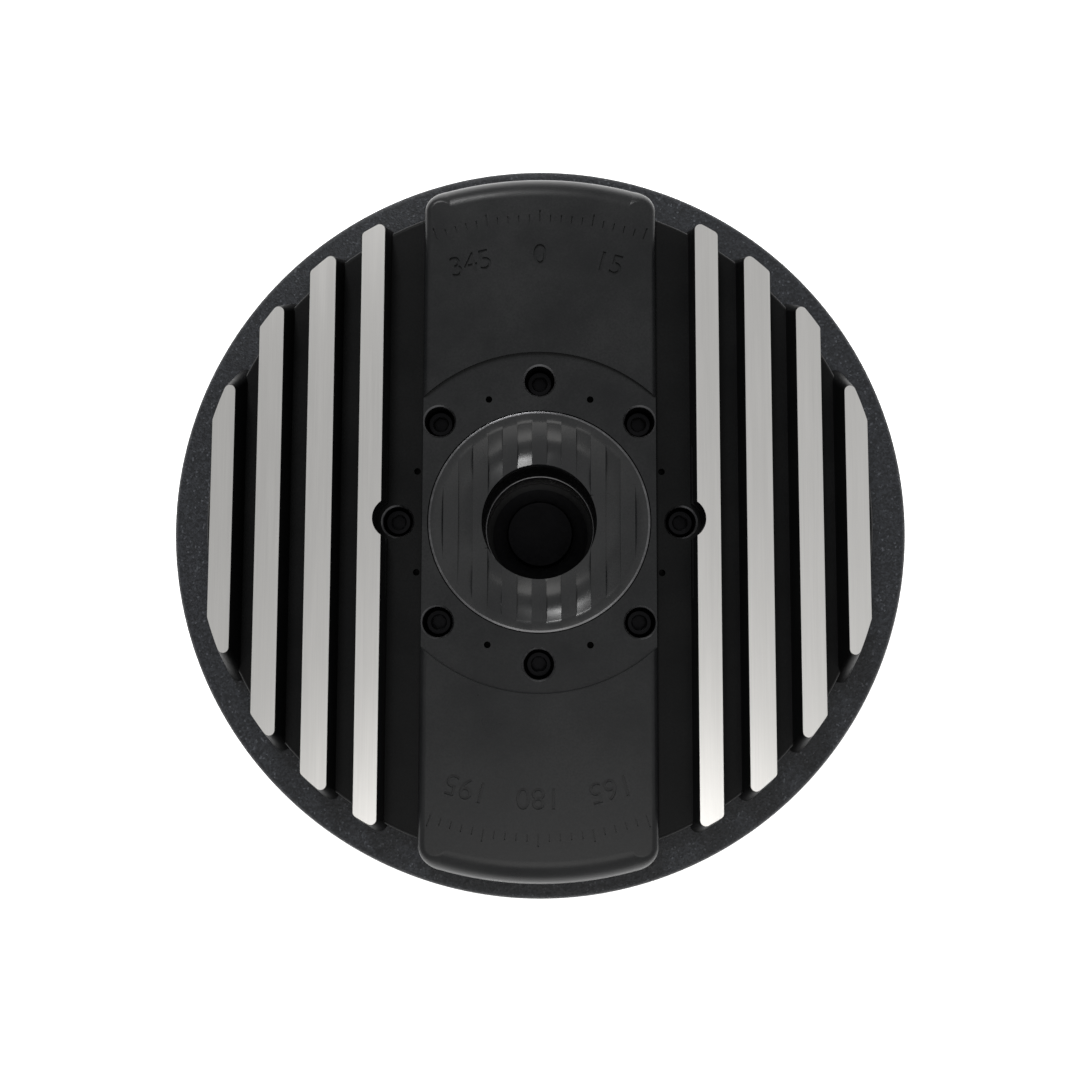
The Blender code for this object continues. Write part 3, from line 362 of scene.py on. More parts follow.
def rod(bm, radius, start, end, at, sides=48, end_radius=None, axis="Z"):
    """Add a cylinder or cone along an axis."""
    turn = {"Z": Matrix.Identity(4), "Y": Matrix.Rotation(-math.pi / 2, 4, "X")}[axis]
    middle = (start + end) / 2
    place = (at[0], at[1], middle) if axis == "Z" else (at[0], middle, at[1])
    bmesh.ops.create_cone(bm, cap_ends=True, segments=sides, radius1=radius,
                          radius2=radius if end_radius is None else end_radius,
                          depth=end - start, matrix=Matrix.Translation(place) @ turn)


def ring_of(count, radius, first=0.0):
    """Evenly spaced points on a circle."""
    angles = [math.radians(first + 360.0 * i / count) for i in range(count)]
    return [(radius * math.cos(a), radius * math.sin(a)) for a in angles]


def add_finish(piece, finish):
    """Give a piece one more material, and return the number of its slot."""
    piece.data.materials.append(finish)
    return len(piece.data.materials) - 1


def piece_done(piece, body, slot, *nodes, sharp=32.0):
    """Shade the piece, keep its flat faces flat, and hand it to the frame."""
    piece.data.shade_smooth()
    piece.data.set_sharp_from_angle(angle=math.radians(sharp))
    weighted = piece.modifiers.new("flat_faces", "WEIGHTED_NORMAL")
    weighted.keep_sharp = True
    if nodes:
        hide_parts(*nodes)
    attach(piece, body)
    print(f"{piece.name}: {len(piece.data.polygons)} faces on {body}")


# %% [markdown]
# ## The turntable casting
# On the real mount this is one casting: a disc with straight fins, a wide bridge across the
# middle and a boss beneath. Each feature is easy on its own, so the disc is turned, and the
# fins and the bridge are lofted from outlines. Then they are joined into one closed mesh.

# %% Geometry Nodes that repeat a shape
def group_with(name, **inputs):
    """A node group with a named input for each size. Returns it, its inputs and its end."""
    kinds = {int: "NodeSocketInt", float: "NodeSocketFloat", type(None): "NodeSocketObject"}
    tree = bpy.data.node_groups.new(name, "GeometryNodeTree")
    for key, default in inputs.items():
        kind = kinds.get(type(default), "NodeSocketMaterial")
        made = tree.interface.new_socket(key, in_out="INPUT", socket_type=kind)
        made.default_value = default
    tree.interface.new_socket("Geometry", in_out="OUTPUT", socket_type="NodeSocketGeometry")
    return tree, node(tree, "NodeGroupInput").outputs, node(tree, "NodeGroupOutput").inputs


def realized(tree, instances, finish, end):
    """Close a tree: make the instances real and give them their finish."""
    real = node(tree, "GeometryNodeRealizeInstances", {"Geometry": instances})
    shown = node(tree, "GeometryNodeSetMaterial", {
        "Geometry": real.outputs["Geometry"], "Material": finish})
    tree.links.new(shown.outputs["Geometry"], end["Geometry"])


def grown(name, tree, **values):
    """Run a node group on an empty mesh, and keep its result as a plain mesh object."""
    made = new_piece(name, bpy.data.meshes.new(name))
    modifier = made.modifiers.new("grow", "NODES")
    modifier.node_group = tree
    for item in tree.interface.items_tree:
        if item.in_out == "INPUT" and item.name in values:
            modifier[item.identifier] = values[item.name]
    return clean(apply_modifiers(made))


def arc_tree(name):
    """Copies of a piece on an arc, each turned by its own angle."""
    tree, sizes, end = group_with(name, Count=8, Radius=0.04, Start=0.0, Step=0.1,
                                  Piece=None, Finish=PAINT)
    index = node(tree, "GeometryNodeInputIndex").outputs["Index"]
    angle = node(tree, "ShaderNodeMath", {0: index, 1: sizes["Step"], 2: sizes["Start"]},
                 operation="MULTIPLY_ADD").outputs["Value"]
    flat = {}
    for axis, turn in (("X", "COSINE"), ("Y", "SINE")):
        share = node(tree, "ShaderNodeMath", {0: angle}, operation=turn).outputs["Value"]
        flat[axis] = node(tree, "ShaderNodeMath", {0: share, 1: sizes["Radius"]},
                          operation="MULTIPLY").outputs["Value"]
    spot = node(tree, "ShaderNodeCombineXYZ", flat).outputs["Vector"]
    turned_by = node(tree, "ShaderNodeCombineXYZ", {"Z": angle}).outputs["Vector"]
    line = node(tree, "GeometryNodeMeshLine", {"Count": sizes["Count"]})
    points = node(tree, "GeometryNodeSetPosition", {
        "Geometry": line.outputs["Mesh"], "Position": spot})
    shape = node(tree, "GeometryNodeObjectInfo", {"Object": sizes["Piece"]})
    copies = node(tree, "GeometryNodeInstanceOnPoints", {
        "Points": points.outputs["Geometry"], "Instance": shape.outputs["Geometry"],
        "Rotation": turned_by})
    realized(tree, copies.outputs["Instances"], sizes["Finish"], end)
    return tree


ON_ARC = arc_tree("copies_on_arc")


def around(name, piece, finish, count, radius, start, step):
    """Copies of a piece on an arc as one mesh. The angles are in degrees."""
    made = grown(name, ON_ARC, Count=count, Radius=radius, Start=math.radians(start),
                 Step=math.radians(step), Piece=piece, Finish=finish)
    bpy.data.objects.remove(piece)
    return made


def row_of_bars(name, finish, **values):
    """Equal bars in a row along X as one mesh. The values are the inputs of the group."""
    tree, sizes, end = group_with(name, **values, Finish=finish)
    size = node(tree, "ShaderNodeCombineXYZ", {
        "X": sizes["Width"], "Y": sizes["Length"], "Z": sizes["Height"]})
    bar = node(tree, "GeometryNodeMeshCube", {"Size": size.outputs["Vector"]})
    step = node(tree, "ShaderNodeCombineXYZ", {"X": sizes["Pitch"]})
    line = node(tree, "GeometryNodeMeshLine", {
        "Count": sizes["Count"], "Offset": step.outputs["Vector"]})
    bars = node(tree, "GeometryNodeInstanceOnPoints", {
        "Points": line.outputs["Mesh"], "Instance": bar.outputs["Mesh"]})
    realized(tree, bars.outputs["Instances"], sizes["Finish"], end)
    return grown(name, tree, **values, Finish=finish)


# %% Outlines that end on a circle
def strip_outline(x_low, x_high, end_r, corner_r, corner_steps=8, end_steps=12):
    """A strip along Y between two x values, its ends on a circle and its corners rounded.
    Returns the points, anticlockwise, each with the direction that it faces."""
    inner_r = end_r - corner_r
    left, right = x_low + corner_r, x_high - corner_r
    left_y, right_y = (math.sqrt(inner_r**2 - x * x) for x in (left, right))
    left_a, right_a = math.atan2(left_y, left), math.atan2(right_y, right)
    half = []
    for i in range(corner_steps + 1):
        a = right_a * i / corner_steps
        half.append((right + corner_r * math.cos(a), right_y + corner_r * math.sin(a), a))
    for i in range(1, end_steps):
        a = right_a + (left_a - right_a) * i / end_steps
        half.append((end_r * math.cos(a), end_r * math.sin(a), a))
    for i in range(corner_steps + 1):
        a = left_a + (math.pi - left_a) * i / corner_steps
        half.append((left + corner_r * math.cos(a), left_y + corner_r * math.sin(a), a))
    return half + [(x, -y, -a) for x, y, a in reversed(half)]


def loft(bm, rings, top_material=0):
    """Bridge equal rings from the lowest up, and cap both ends."""
    levels = [[bm.verts.new(point) for point in ring] for ring in rings]
    for low, high in zip(levels, levels[1:]):
        for i, vertex in enumerate(low):
            j = (i + 1) % len(low)
            bm.faces.new((vertex, low[j], high[j], high[i]))
    bm.faces.new(list(reversed(levels[0])))
    bm.faces.new(levels[-1]).material_index = top_material


# %% Fins
FINS = ((0.0489, 0.0069), (0.0636, 0.0077), (0.0783, 0.0072), (0.0917, 0.0066))
FIN_DRAFT = 0.0008
FIN_FOOT_R = TABLE_R + 0.0040
FIN_CORNER = 0.0017
FIN_BREAK = 0.00012      # broken edge round the milled top
TOOL_NOTCH_R = 0.006


def fin_rings(centre, width):
    """Rings of one fin: foot, edge of the milled top, and the top itself."""
    levels = ((TABLE_LOW + 0.0006, FIN_DRAFT, FIN_FOOT_R, FIN_CORNER + FIN_DRAFT),
              (FIN_Z - FIN_BREAK, 0.0, TABLE_R, FIN_CORNER),
              (FIN_Z, -FIN_BREAK, TABLE_R - FIN_BREAK, FIN_CORNER - FIN_BREAK))
    rings = []
    for z, extra, end_r, corner_r in levels:
        half = width / 2 + extra
        outline = strip_outline(centre - half, centre + half, end_r, corner_r)
        rings.append([(x, y, z) for x, y, _ in outline])
    return rings


def draw_fins(bm):
    """Every fin on both sides, its milled top in the second finish."""
    for centre, width in FINS:
        for side in (-1, 1):
            loft(bm, fin_rings(side * centre, width), top_material=1)


fins = draw("fins", draw_fins, PAINT, BARE)
notches = draw("tool_notches", lambda bm: [rod(bm, TOOL_NOTCH_R, FLOOR_Z, FIN_Z + PAST, (x, 0.0))
                                           for x in (-BOLT_CIRCLE, BOLT_CIRCLE)], PAINT)
boolean(fins, notches)
print("fins:", 2 * len(FINS), "with", len(fins.data.polygons), "faces")

# %% Bridge
BRIDGE_HALF = 0.0349
BRIDGE_CORNER = 0.0085
SIDE_ROLL = 0.0024
END_ROLL = 0.0078
ROLL_STEPS = 10


def bridge_rings():
    """Rings of the bridge. Its long edges roll over tightly, and its ends widely."""
    outline = strip_outline(-BRIDGE_HALF, BRIDGE_HALF, BRIDGE_R, BRIDGE_CORNER, 16, 40)
    rings = [[(x, y, TABLE_LOW + 0.0003) for x, y, _ in outline]]
    for step in range(ROLL_STEPS + 1):
        turn = math.pi / 2 * step / ROLL_STEPS
        ring = []
        for x, y, facing in outline:
            share = math.sin(facing) ** 2
            roll = SIDE_ROLL + (END_ROLL - SIDE_ROLL) * share
            inset = roll * (1 - math.cos(turn))
            ring.append((x - inset * math.cos(facing), y - inset * math.sin(facing),
                         BRIDGE_Z - roll * (1 - math.sin(turn))))
        rings.append(ring)
    return rings


bridge = draw("bridge", lambda bm: loft(bm, bridge_rings()), PAINT, BARE)

# %% Disc with its boss
TABLE_EDGE = 0.0014
BOSS_R = 0.054
table = turned("turntable_casting_finish", [
    *corner((TABLE_R - TABLE_EDGE, FLOOR_Z - TABLE_EDGE), TABLE_EDGE, 90, 0),
    (TABLE_R, TABLE_LOW), (TABLE_R - 0.005, TABLE_LOW), (TABLE_R - 0.0056, TABLE_LOW + 0.003),
    (BOSS_R + 0.0056, TABLE_LOW + 0.003), (BOSS_R + 0.005, TABLE_LOW), (BOSS_R, TABLE_LOW),
    (BOSS_R, CAST_LOW.z), (LINER_HOLE_R, CAST_LOW.z), (LINER_HOLE_R, FLOOR_Z)],
    PAINT, BARE)
boolean(table, bridge, "UNION")
boolean(table, fins, "UNION")
print("casting joined:", len(table.data.polygons), "faces")

# %% Spotface, bolt holes and pin holes
SPOTFACE_R = 0.0506
COUNTERBORE_R = 0.0045
COUNTERBORE_LOW = HUB_Z - 0.010
CHAMFER = 0.0005
SHANK_HOLE_R = 0.0028
PIN_R = 0.001
PIN_DEEP = 0.004
PIN_CIRCLE = 0.0394
BOLTS = ring_of(BOLT_COUNT, BOLT_CIRCLE)
PINS = ring_of(BOLT_COUNT, PIN_CIRCLE, 180 / BOLT_COUNT)


def mouth(point):
    """Height of the surface that a bolt hole opens on."""
    return HUB_Z if abs(point[0]) < BRIDGE_HALF else FLOOR_Z


def cut(piece, paint, finish=PAINT):
    """Cut what a function draws out of a piece."""
    boolean(piece, draw("tool", paint, finish))


cut(table, lambda bm: rod(bm, SPOTFACE_R, HUB_Z, BRIDGE_Z + PAST, (0, 0), ROUND))
cut(table, lambda bm: rod(bm, HUB_R + 0.0003, HUB_LOW.z - 0.0003, FIN_Z, (0, 0), ROUND))
cut(table, lambda bm: rod(bm, LINER_HOLE_R, CAST_LOW.z - PAST, FIN_Z, (0, 0), ROUND))
cut(table, lambda bm: [rod(bm, COUNTERBORE_R, COUNTERBORE_LOW, FIN_Z, p) for p in BOLTS])
cut(table, lambda bm: [rod(bm, COUNTERBORE_R, mouth(p) - CHAMFER, mouth(p) + CHAMFER, p,
                           end_radius=COUNTERBORE_R + 2 * CHAMFER) for p in BOLTS])
cut(table, lambda bm: [rod(bm, SHANK_HOLE_R, CAST_LOW.z - PAST, FIN_Z, p, 24) for p in BOLTS])
cut(table, lambda bm: [rod(bm, PIN_R, FLOOR_Z - PIN_DEEP, FIN_Z, p, 16) for p in PINS])

# %% Dull paint with painted shade beside the bridge and in the holes, and worn edges round the bolt holes
NEAR = 0.0001            # faces this close to an edge still count as part of it
worn_slot = add_finish(table, WORN)
painted_shade_slot = add_finish(table, DULL_SHADED_PAINT)
# Faces beside the bridge and down in the holes get the darker paint, as painted shade.
for face in table.data.polygons:
    beside_bridge = abs(face.center.x) > BRIDGE_HALF + NEAR
    in_a_hole = face.center.z < FLOOR_Z - 2 * NEAR and face.center.xy.length < SPOTFACE_R
    if face.material_index == 0 and (beside_bridge or in_a_hole):
        face.material_index = painted_shade_slot
    is_slope = 0.3 < face.normal.z < 0.8 and face.area < 1e-6
    near_bolt = min(math.dist(face.center.xy, point) for point in BOLTS) < COUNTERBORE_R + CHAMFER
    if is_slope and near_bolt:
        face.material_index = worn_slot

# %% [markdown]
# ## Azimuth numbers
# Both ends of the bridge carry shallow engraving. Here it is a plain azimuth scale: degree
# numbers whose tops point outwards, and a fine tick for every second degree. The digits are
# text objects with a thickness, made meshes first and then cut from the casting.

# %% Engraved digits
ENGRAVE = 0.0006
DIGIT_SIZE = 0.0088
DIGIT_R = 0.0775


def digits(text, bearing):
    """One number as a solid, at its bearing clockwise from +Y."""
    curve = bpy.data.curves.new("digits", "FONT")
    curve.body = text
    curve.size = DIGIT_SIZE
    curve.extrude = ENGRAVE
    curve.align_x = "CENTER"
    written = new_piece("digits", curve)
    bpy.context.view_layer.update()
    evaluated = written.evaluated_get(bpy.context.evaluated_depsgraph_get())
    made = new_piece("digit_tool", bpy.data.meshes.new_from_object(evaluated), PAINT)
    bpy.data.objects.remove(written)
    clean(made)
    made.data.transform(Matrix.Rotation(-math.radians(bearing), 4, "Z")
                        @ Matrix.Translation((0, DIGIT_R, BRIDGE_Z)))
    return made


for bearing in (-15, 0, 15, 165, 180, 195):
    boolean(table, digits(str(bearing % 360), bearing))

# %% Ticks by Geometry Nodes
TICK_R = 0.0905
for count, step_size, length, wide in ((21, 2.0, 0.0022, 0.0003), (5, 10.0, 0.0036, 0.0004)):
    for middle in (90.0, 270.0):
        tick = draw("tick", lambda bm: bmesh.ops.create_cube(bm, matrix=Matrix.Translation(
            (length / 2, 0, BRIDGE_Z)) @ Matrix.Diagonal((length, wide, 2 * ENGRAVE, 1))), PAINT)
        boolean(table, around("ticks", tick, PAINT, count, TICK_R,
                              middle - step_size * (count - 1) / 2, step_size))
piece_done(table, "turntable", "satin_black", "turntable_casting")

# %% [markdown]
# ## Hub ring
# The ring round the bore is dished, and straight flutes run across it. It is turned twice:
# once with the shallow dish of the ribs, and once as the deeper trough of the flutes. Bars in
# every second place keep only strips of the trough, and those strips are cut from the ring.

# %% Dished ring
FLUTE_PITCH = 0.00874
FLUTE_HALF = FLUTE_PITCH / 4
LAND_R = HUB_R - 0.0024
HUB_LIP = 0.0006
HUB_LIP_DROP = 0.0002


def trough(depth_rib, depth, steps=14):
    """Points of a concave dish from the land in to the bore."""
    points = []
    for i in range(steps + 1):
        share = i / steps
        radius = LAND_R + (BORE_R - LAND_R) * share
        points.append((radius, HUB_Z - depth_rib * share - depth * math.sin(math.pi * share)))
    return points


hub = turned("hub_ring_finish", [
    *trough(0.0012, 0.0006), (BORE_R, HUB_LOW.z), (HUB_R, HUB_LOW.z), (HUB_R, HUB_Z - HUB_LIP_DROP),
    (HUB_R - HUB_LIP, HUB_Z)], HUB_PAINT, WORN)
for face in hub.data.polygons:
    is_outer_edge = face.center.xy.length > HUB_R - HUB_LIP and face.normal.z > 0.3
    face.material_index = int(is_outer_edge)


# %% Flutes by Geometry Nodes
FLUTES = 8
FLUTE_TALL = 0.012
flutes = row_of_bars("flute_bars", HUB_PAINT, Count=FLUTES, Pitch=FLUTE_PITCH,
                     Width=2 * FLUTE_HALF, Length=2 * HUB_R, Height=FLUTE_TALL)
flutes.data.transform(Matrix.Translation((-FLUTE_PITCH * (FLUTES - 1) / 2, 0, HUB_Z)))
deep = turned("flute_trough", [
    *trough(0.0012, 0.0021), (BORE_R - 0.001, HUB_Z - 0.0012), (BORE_R - 0.001, HUB_Z + 0.004),
    (LAND_R, HUB_Z + 0.004)], HUB_PAINT)
boolean(flutes, deep, "INTERSECT")
boolean(hub, flutes)
# The flute walls take the darker paint too, as painted shade in these creases.
flute_wall_shade_slot = add_finish(hub, DULL_SHADED_PAINT)
for face in hub.data.polygons:
    if abs(face.normal.x) > 0.7:
        face.material_index = flute_wall_shade_slot
print("finish slots:", worn_slot, painted_shade_slot, flute_wall_shade_slot)
piece_done(hub, "turntable", "satin_black", "hub_ring")

# %% [markdown]
# ## Bore liner
# A plain sleeve that ends in a narrow rolled lip. The lip is left bare, so it shows deep in
# the bore as a thin bright ring.

# %% Liner
liner_low, liner_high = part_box("bore_liner")
LINER_OUT = liner_high.x
LIP = 0.0003
LIP_Z = liner_low.z + 0.0010
liner = turned("bore_liner_finish", [
    (LINER_OUT, liner_high.z), (LINER_OUT, liner_low.z), (BORE_R - LIP, liner_low.z),
    *corner((BORE_R, LIP_Z), LIP, 180, 90, 5), (BORE_R, liner_high.z)], GLOSS, WORN)
for face in liner.data.polygons:
    if LIP_Z < face.center.z < LIP_Z + LIP and face.center.xy.length < BORE_R:
        face.material_index = 1
piece_done(liner, "turntable", "gloss_black", "bore_liner")

# %% [markdown]
# ## Cap screws
# Eight identical socket screws stand in the counterbores. One is modelled with a knurled
# head, a chamfer and a hexagon socket. Geometry Nodes then stand a copy on every point of the
# bolt circle, so the count and the circle stay two numbers.

# %% One cap screw
screw_low, screw_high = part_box("cap_screw_1")
HEAD_R = (screw_high.x - screw_low.x) / 2
HEAD_TOP = screw_high.z
KNURLS = 36


def draw_head(bm):
    """Knurled head: its radius rises and falls round the rim, and its top is chamfered."""
    count = KNURLS * 2
    rings = []
    for z, inset, depth in ((HEAD_TOP - 0.005, 0.0002, 0), (HEAD_TOP - 0.0048, 0, 1),
                            (HEAD_TOP - 0.0008, 0, 1), (HEAD_TOP - 0.0006, 0.0002, 0),
                            (HEAD_TOP, 0.0006, 0)):
        ring = []
        for i in range(count):
            radius = HEAD_R - inset - (0.00016 if depth and i % 2 else 0.0)
            angle = 2 * math.pi * i / count
            ring.append((radius * math.cos(angle), radius * math.sin(angle), z))
        rings.append(ring)
    loft(bm, rings)


cap_screw = draw("cap_screw", draw_head, BLACK_STEEL)
boolean(cap_screw, draw("shank", lambda bm: rod(
    bm, 0.0025, screw_low.z, HEAD_TOP - 0.004, (0, 0), 24), BLACK_STEEL), "UNION")
boolean(cap_screw, draw("hexagon", lambda bm: rod(
    bm, 0.0023, HEAD_TOP - 0.0025, HEAD_TOP + PAST, (0, 0), 6), BLACK_STEEL))
boolean(cap_screw, draw("hexagon_mouth", lambda bm: rod(
    bm, 0.0020, HEAD_TOP - 0.0003, HEAD_TOP + 0.0003, (0, 0), 24, 0.0028), BLACK_STEEL))


# %% Eight of them by Geometry Nodes
cap_screws = around("cap_screws", cap_screw, BLACK_STEEL, BOLT_COUNT, BOLT_CIRCLE, 0.0,
                    360.0 / BOLT_COUNT)
piece_done(cap_screws, "turntable", "black_oxide_steel",
           *[f"cap_screw_{i}" for i in range(1, BOLT_COUNT + 1)])

# %% [markdown]
# ## Base housing
# The drum is turned with a rounded rim, which draws the thin highlight round the whole mount.
# A flat recess for the side panel is cut into its wall, with a pad behind it that the panel
# is screwed to.

# %% Housing
RIM_ROUND = 0.0021
WALL = 0.005
DECK_LOW = RIM_Z - 0.005
DECK_HOLE_R = BOSS_R + 0.002
SKIRT = 0.001
housing = turned("base_housing_finish", [
    (DECK_HOLE_R, RIM_Z - 0.0005), (DECK_HOLE_R + 0.0005, RIM_Z),
    *corner((BASE_R - RIM_ROUND, RIM_Z - RIM_ROUND), RIM_ROUND, 90, 0, 8),
    *corner((BASE_R - SKIRT, BASE_LOW.z + SKIRT), SKIRT, 0, -90, 4),
    (BASE_R - WALL, BASE_LOW.z), (BASE_R - WALL, DECK_LOW), (DECK_HOLE_R, DECK_LOW)], COAT,
    sides=256)

PANEL_LOW, PANEL_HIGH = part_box("side_panel")
PANEL_Y = PANEL_HIGH.y + 0.0003
PANEL_MID = (PANEL_LOW.z + PANEL_HIGH.z) / 2
MARGIN = 0.002
HOUSING_CIRCLE = BASE_R - 0.0095
HOUSING_POINTS = ring_of(4, HOUSING_CIRCLE, 45)


def rounded_box(bm, low, high, radius, edge=0.0, steps=5):
    """A box along Y with rounded corners. Its front edge, at the lowest y, can be broken."""
    centres = ((high[0] - radius, high[2] - radius, 0), (low[0] + radius, high[2] - radius, 90),
               (low[0] + radius, low[2] + radius, 180), (high[0] - radius, low[2] + radius, 270))
    levels = [(high[1], 0.0), (low[1] + edge, 0.0)]
    if edge:
        levels.append((low[1], edge))
    loft(bm, [[(x, y, z) for cx, cz, start in centres
               for x, z in corner((cx, cz), radius - inset, start, start + 90, steps)]
              for y, inset in levels])


def box_cutter(low, high, radius):
    """A function that draws a rounded box, for a cut."""
    return lambda bm: rounded_box(bm, low, high, radius)


pad = draw("panel_pad", box_cutter(
    (PANEL_LOW.x - MARGIN, PANEL_Y - 0.001, PANEL_LOW.z - 0.0045),
    (PANEL_HIGH.x + MARGIN, PANEL_Y + 0.0065, PANEL_HIGH.z + 0.0045), 0.001), COAT)
boolean(housing, pad, "UNION")
bosses = draw("screw_bosses", lambda bm: [rod(bm, 0.005, BASE_LOW.z + 0.0003, BASE_LOW.z + 0.012,
                                              point, 24) for point in HOUSING_POINTS], COAT)
boolean(housing, bosses, "UNION")
cut(housing, box_cutter((PANEL_LOW.x - MARGIN, -BASE_R - PAST, PANEL_LOW.z - MARGIN),
                        (PANEL_HIGH.x + MARGIN, PANEL_Y, PANEL_HIGH.z + MARGIN), 0.003), COAT)
cut(housing, box_cutter((-0.022, PANEL_Y - PAST, PANEL_MID - 0.009),
                        (0.022, PANEL_Y + 0.008, PANEL_MID + 0.009), 0.001), COAT)
cut(housing, lambda bm: [rod(bm, 0.0018, BASE_LOW.z - PAST, BASE_LOW.z + 0.011, point, 16)
                         for point in HOUSING_POINTS], COAT)
piece_done(housing, "base", "textured_black", "base_housing")

# %% [markdown]
# ## Side panel
# A moulded plate carries the power inlet, the handset port, the switch and a small lamp. Each
# fitting is its own piece with its own hollow, so the panel reads as assembled.

# %% Panel plate
LENS_MID = (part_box("status_lens")[0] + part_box("status_lens")[1]) / 2
FITTINGS = ("power_socket", "handset_socket", "switch_body")
plate = draw("side_panel_finish", lambda bm: rounded_box(bm, PANEL_LOW, PANEL_HIGH, 0.002, 0.0004),
             PLASTIC)
for name in FITTINGS[1:]:
    low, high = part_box(name)
    inset = Vector((0.001, 0.0, 0.001))
    cut(plate, box_cutter((low + inset) - Vector((0, PAST, 0)), (high - inset), 0.0004), PLASTIC)
power_low, power_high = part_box("power_socket")
POWER = ((power_low.x + power_high.x) / 2, (power_low.z + power_high.z) / 2)
PANEL_HEAD_R = 0.0019
PANEL_SCREWS = [(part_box(name)[0].x + PANEL_HEAD_R, PANEL_MID)
                for name in ("panel_screw_1", "panel_screw_2")]
FRONT, BACK = PANEL_LOW.y - PAST, PANEL_HIGH.y + PAST
cut(plate, lambda bm: rod(bm, 0.0058, FRONT, BACK, POWER, 48, axis="Y"), PLASTIC)
cut(plate, lambda bm: rod(bm, 0.0017, FRONT, BACK, (LENS_MID.x, LENS_MID.z), 24, axis="Y"),
    PLASTIC)
cut(plate, lambda bm: [rod(bm, 0.0012, FRONT, BACK, at, 16, axis="Y") for at in PANEL_SCREWS],
    PLASTIC)
piece_done(plate, "base", "black_plastic", "side_panel")

# %% Power inlet
INLET_R = (power_high.x - power_low.x) / 2
INLET_FRONT = power_low.y
inlet = turned("power_socket_finish", [
    (0.0, power_high.y - INLET_FRONT), (INLET_R - 0.001, power_high.y - INLET_FRONT),
    (INLET_R - 0.001, 0.0016), (INLET_R, 0.0015), (INLET_R, 0.0005), (INLET_R - 0.0005, 0.0),
    (INLET_R - 0.0026, 0.0), (INLET_R - 0.0030, 0.0004), (INLET_R - 0.0030, 0.010),
    (0.001, 0.010), (0.001, 0.0030), (0.0006, 0.0026), (0.0, 0.0026)], PLASTIC, sides=64,
    axis="Y", at=(POWER[0], INLET_FRONT, POWER[1]))
piece_done(inlet, "base", "black_plastic", "power_socket")


# %% Handset port and switch frame
def framed_body(node_name, port, depth, finish=PLASTIC):
    """A fitting with a wider frame in front of the plate and an open port."""
    low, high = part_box(node_name)
    made = draw(node_name + "_finish", lambda bm: rounded_box(
        bm, low, (high.x, PANEL_LOW.y - 0.0003, high.z), 0.0012, 0.0005), finish)
    inset = Vector((0.0012, 0.0, 0.0012))
    body = draw("body", box_cutter((low + inset) + Vector((0, 0.001, 0)), high - inset, 0.0003),
                finish)
    boolean(made, body, "UNION")
    wide, tall = port
    middle = (low + high) / 2
    cut(made, box_cutter((middle.x - wide / 2, low.y - PAST, middle.z - tall / 2),
                         (middle.x + wide / 2, low.y + depth, middle.z + tall / 2), 0.0004), finish)
    return made, low, middle


handset, handset_low, handset_mid = framed_body("handset_socket", (0.0105, 0.0070), 0.0105)
cut(handset, box_cutter((handset_mid.x - 0.002, handset_low.y - PAST, handset_mid.z + 0.003),
                        (handset_mid.x + 0.002, handset_low.y + 0.007, handset_mid.z + 0.0047),
                        0.0002), PLASTIC)
piece_done(handset, "base", "black_plastic", "handset_socket")
frame_piece, _, switch_mid = framed_body("switch_body", (0.0085, 0.0150), 0.0075)
piece_done(frame_piece, "base", "black_plastic", "switch_body")

# %% Contacts of the port by Geometry Nodes
CONTACTS = 6
CONTACT_PITCH = 0.00127
contacts = row_of_bars("port_contacts", BRASS, Count=CONTACTS, Pitch=CONTACT_PITCH,
                       Width=0.0005, Length=0.006, Height=0.0004)
contacts.data.transform(Matrix.Translation((
    handset_mid.x - CONTACT_PITCH * (CONTACTS - 1) / 2, handset_low.y + 0.0065,
    handset_mid.z - 0.0034)))
piece_done(contacts, "base", "brass")

# %% Rocker
PIVOT = Vector((switch_mid.x, (PANEL_LOW.y + PANEL_HIGH.y) / 2, PANEL_MID))
ROCKER_HALF = 0.0039
ROCKER_HIGH = 0.0062
ROCKER_REST = math.radians(-8)


def draw_rocker(bm):
    """Dished paddle: its front is a shallow hollow between two raised ends."""
    front = [(-0.0028 - 0.0014 * (i / 8)**2, ROCKER_HIGH * i / 8) for i in range(8, -9, -1)]
    outline = front + [(0.0014, -ROCKER_HIGH + 0.001), (0.0014, ROCKER_HIGH - 0.001)]
    loft(bm, [[(x, y, z) for y, z in outline] for x in (-ROCKER_HALF, ROCKER_HALF)])


rocker = draw("power_rocker_finish", draw_rocker, PLASTIC)
soft = rocker.modifiers.new("soft_edges", "BEVEL")
soft.width = 0.0003
soft.segments = 3
soft.limit_method = "ANGLE"
clean(apply_modifiers(rocker))
rocker.data.transform(Matrix.Translation(PIVOT) @ Matrix.Rotation(ROCKER_REST, 4, "X"))
piece_done(rocker, "rocker", "black_plastic", "power_rocker")

# %% Lamp lens and panel screws
lens_low, lens_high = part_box("status_lens")
LENS_LONG = lens_high.y - lens_low.y
lens = turned("status_lens_finish", [
    (0.0, LENS_LONG), (0.0015, LENS_LONG), (0.0015, 0.0005), (0.0013, 0.0002), (0.0007, 0.00005),
    (0.0, 0.0)], LENS, sides=32, axis="Y", at=(LENS_MID.x, lens_low.y, LENS_MID.z))
piece_done(lens, "base", "red_lens", "status_lens")

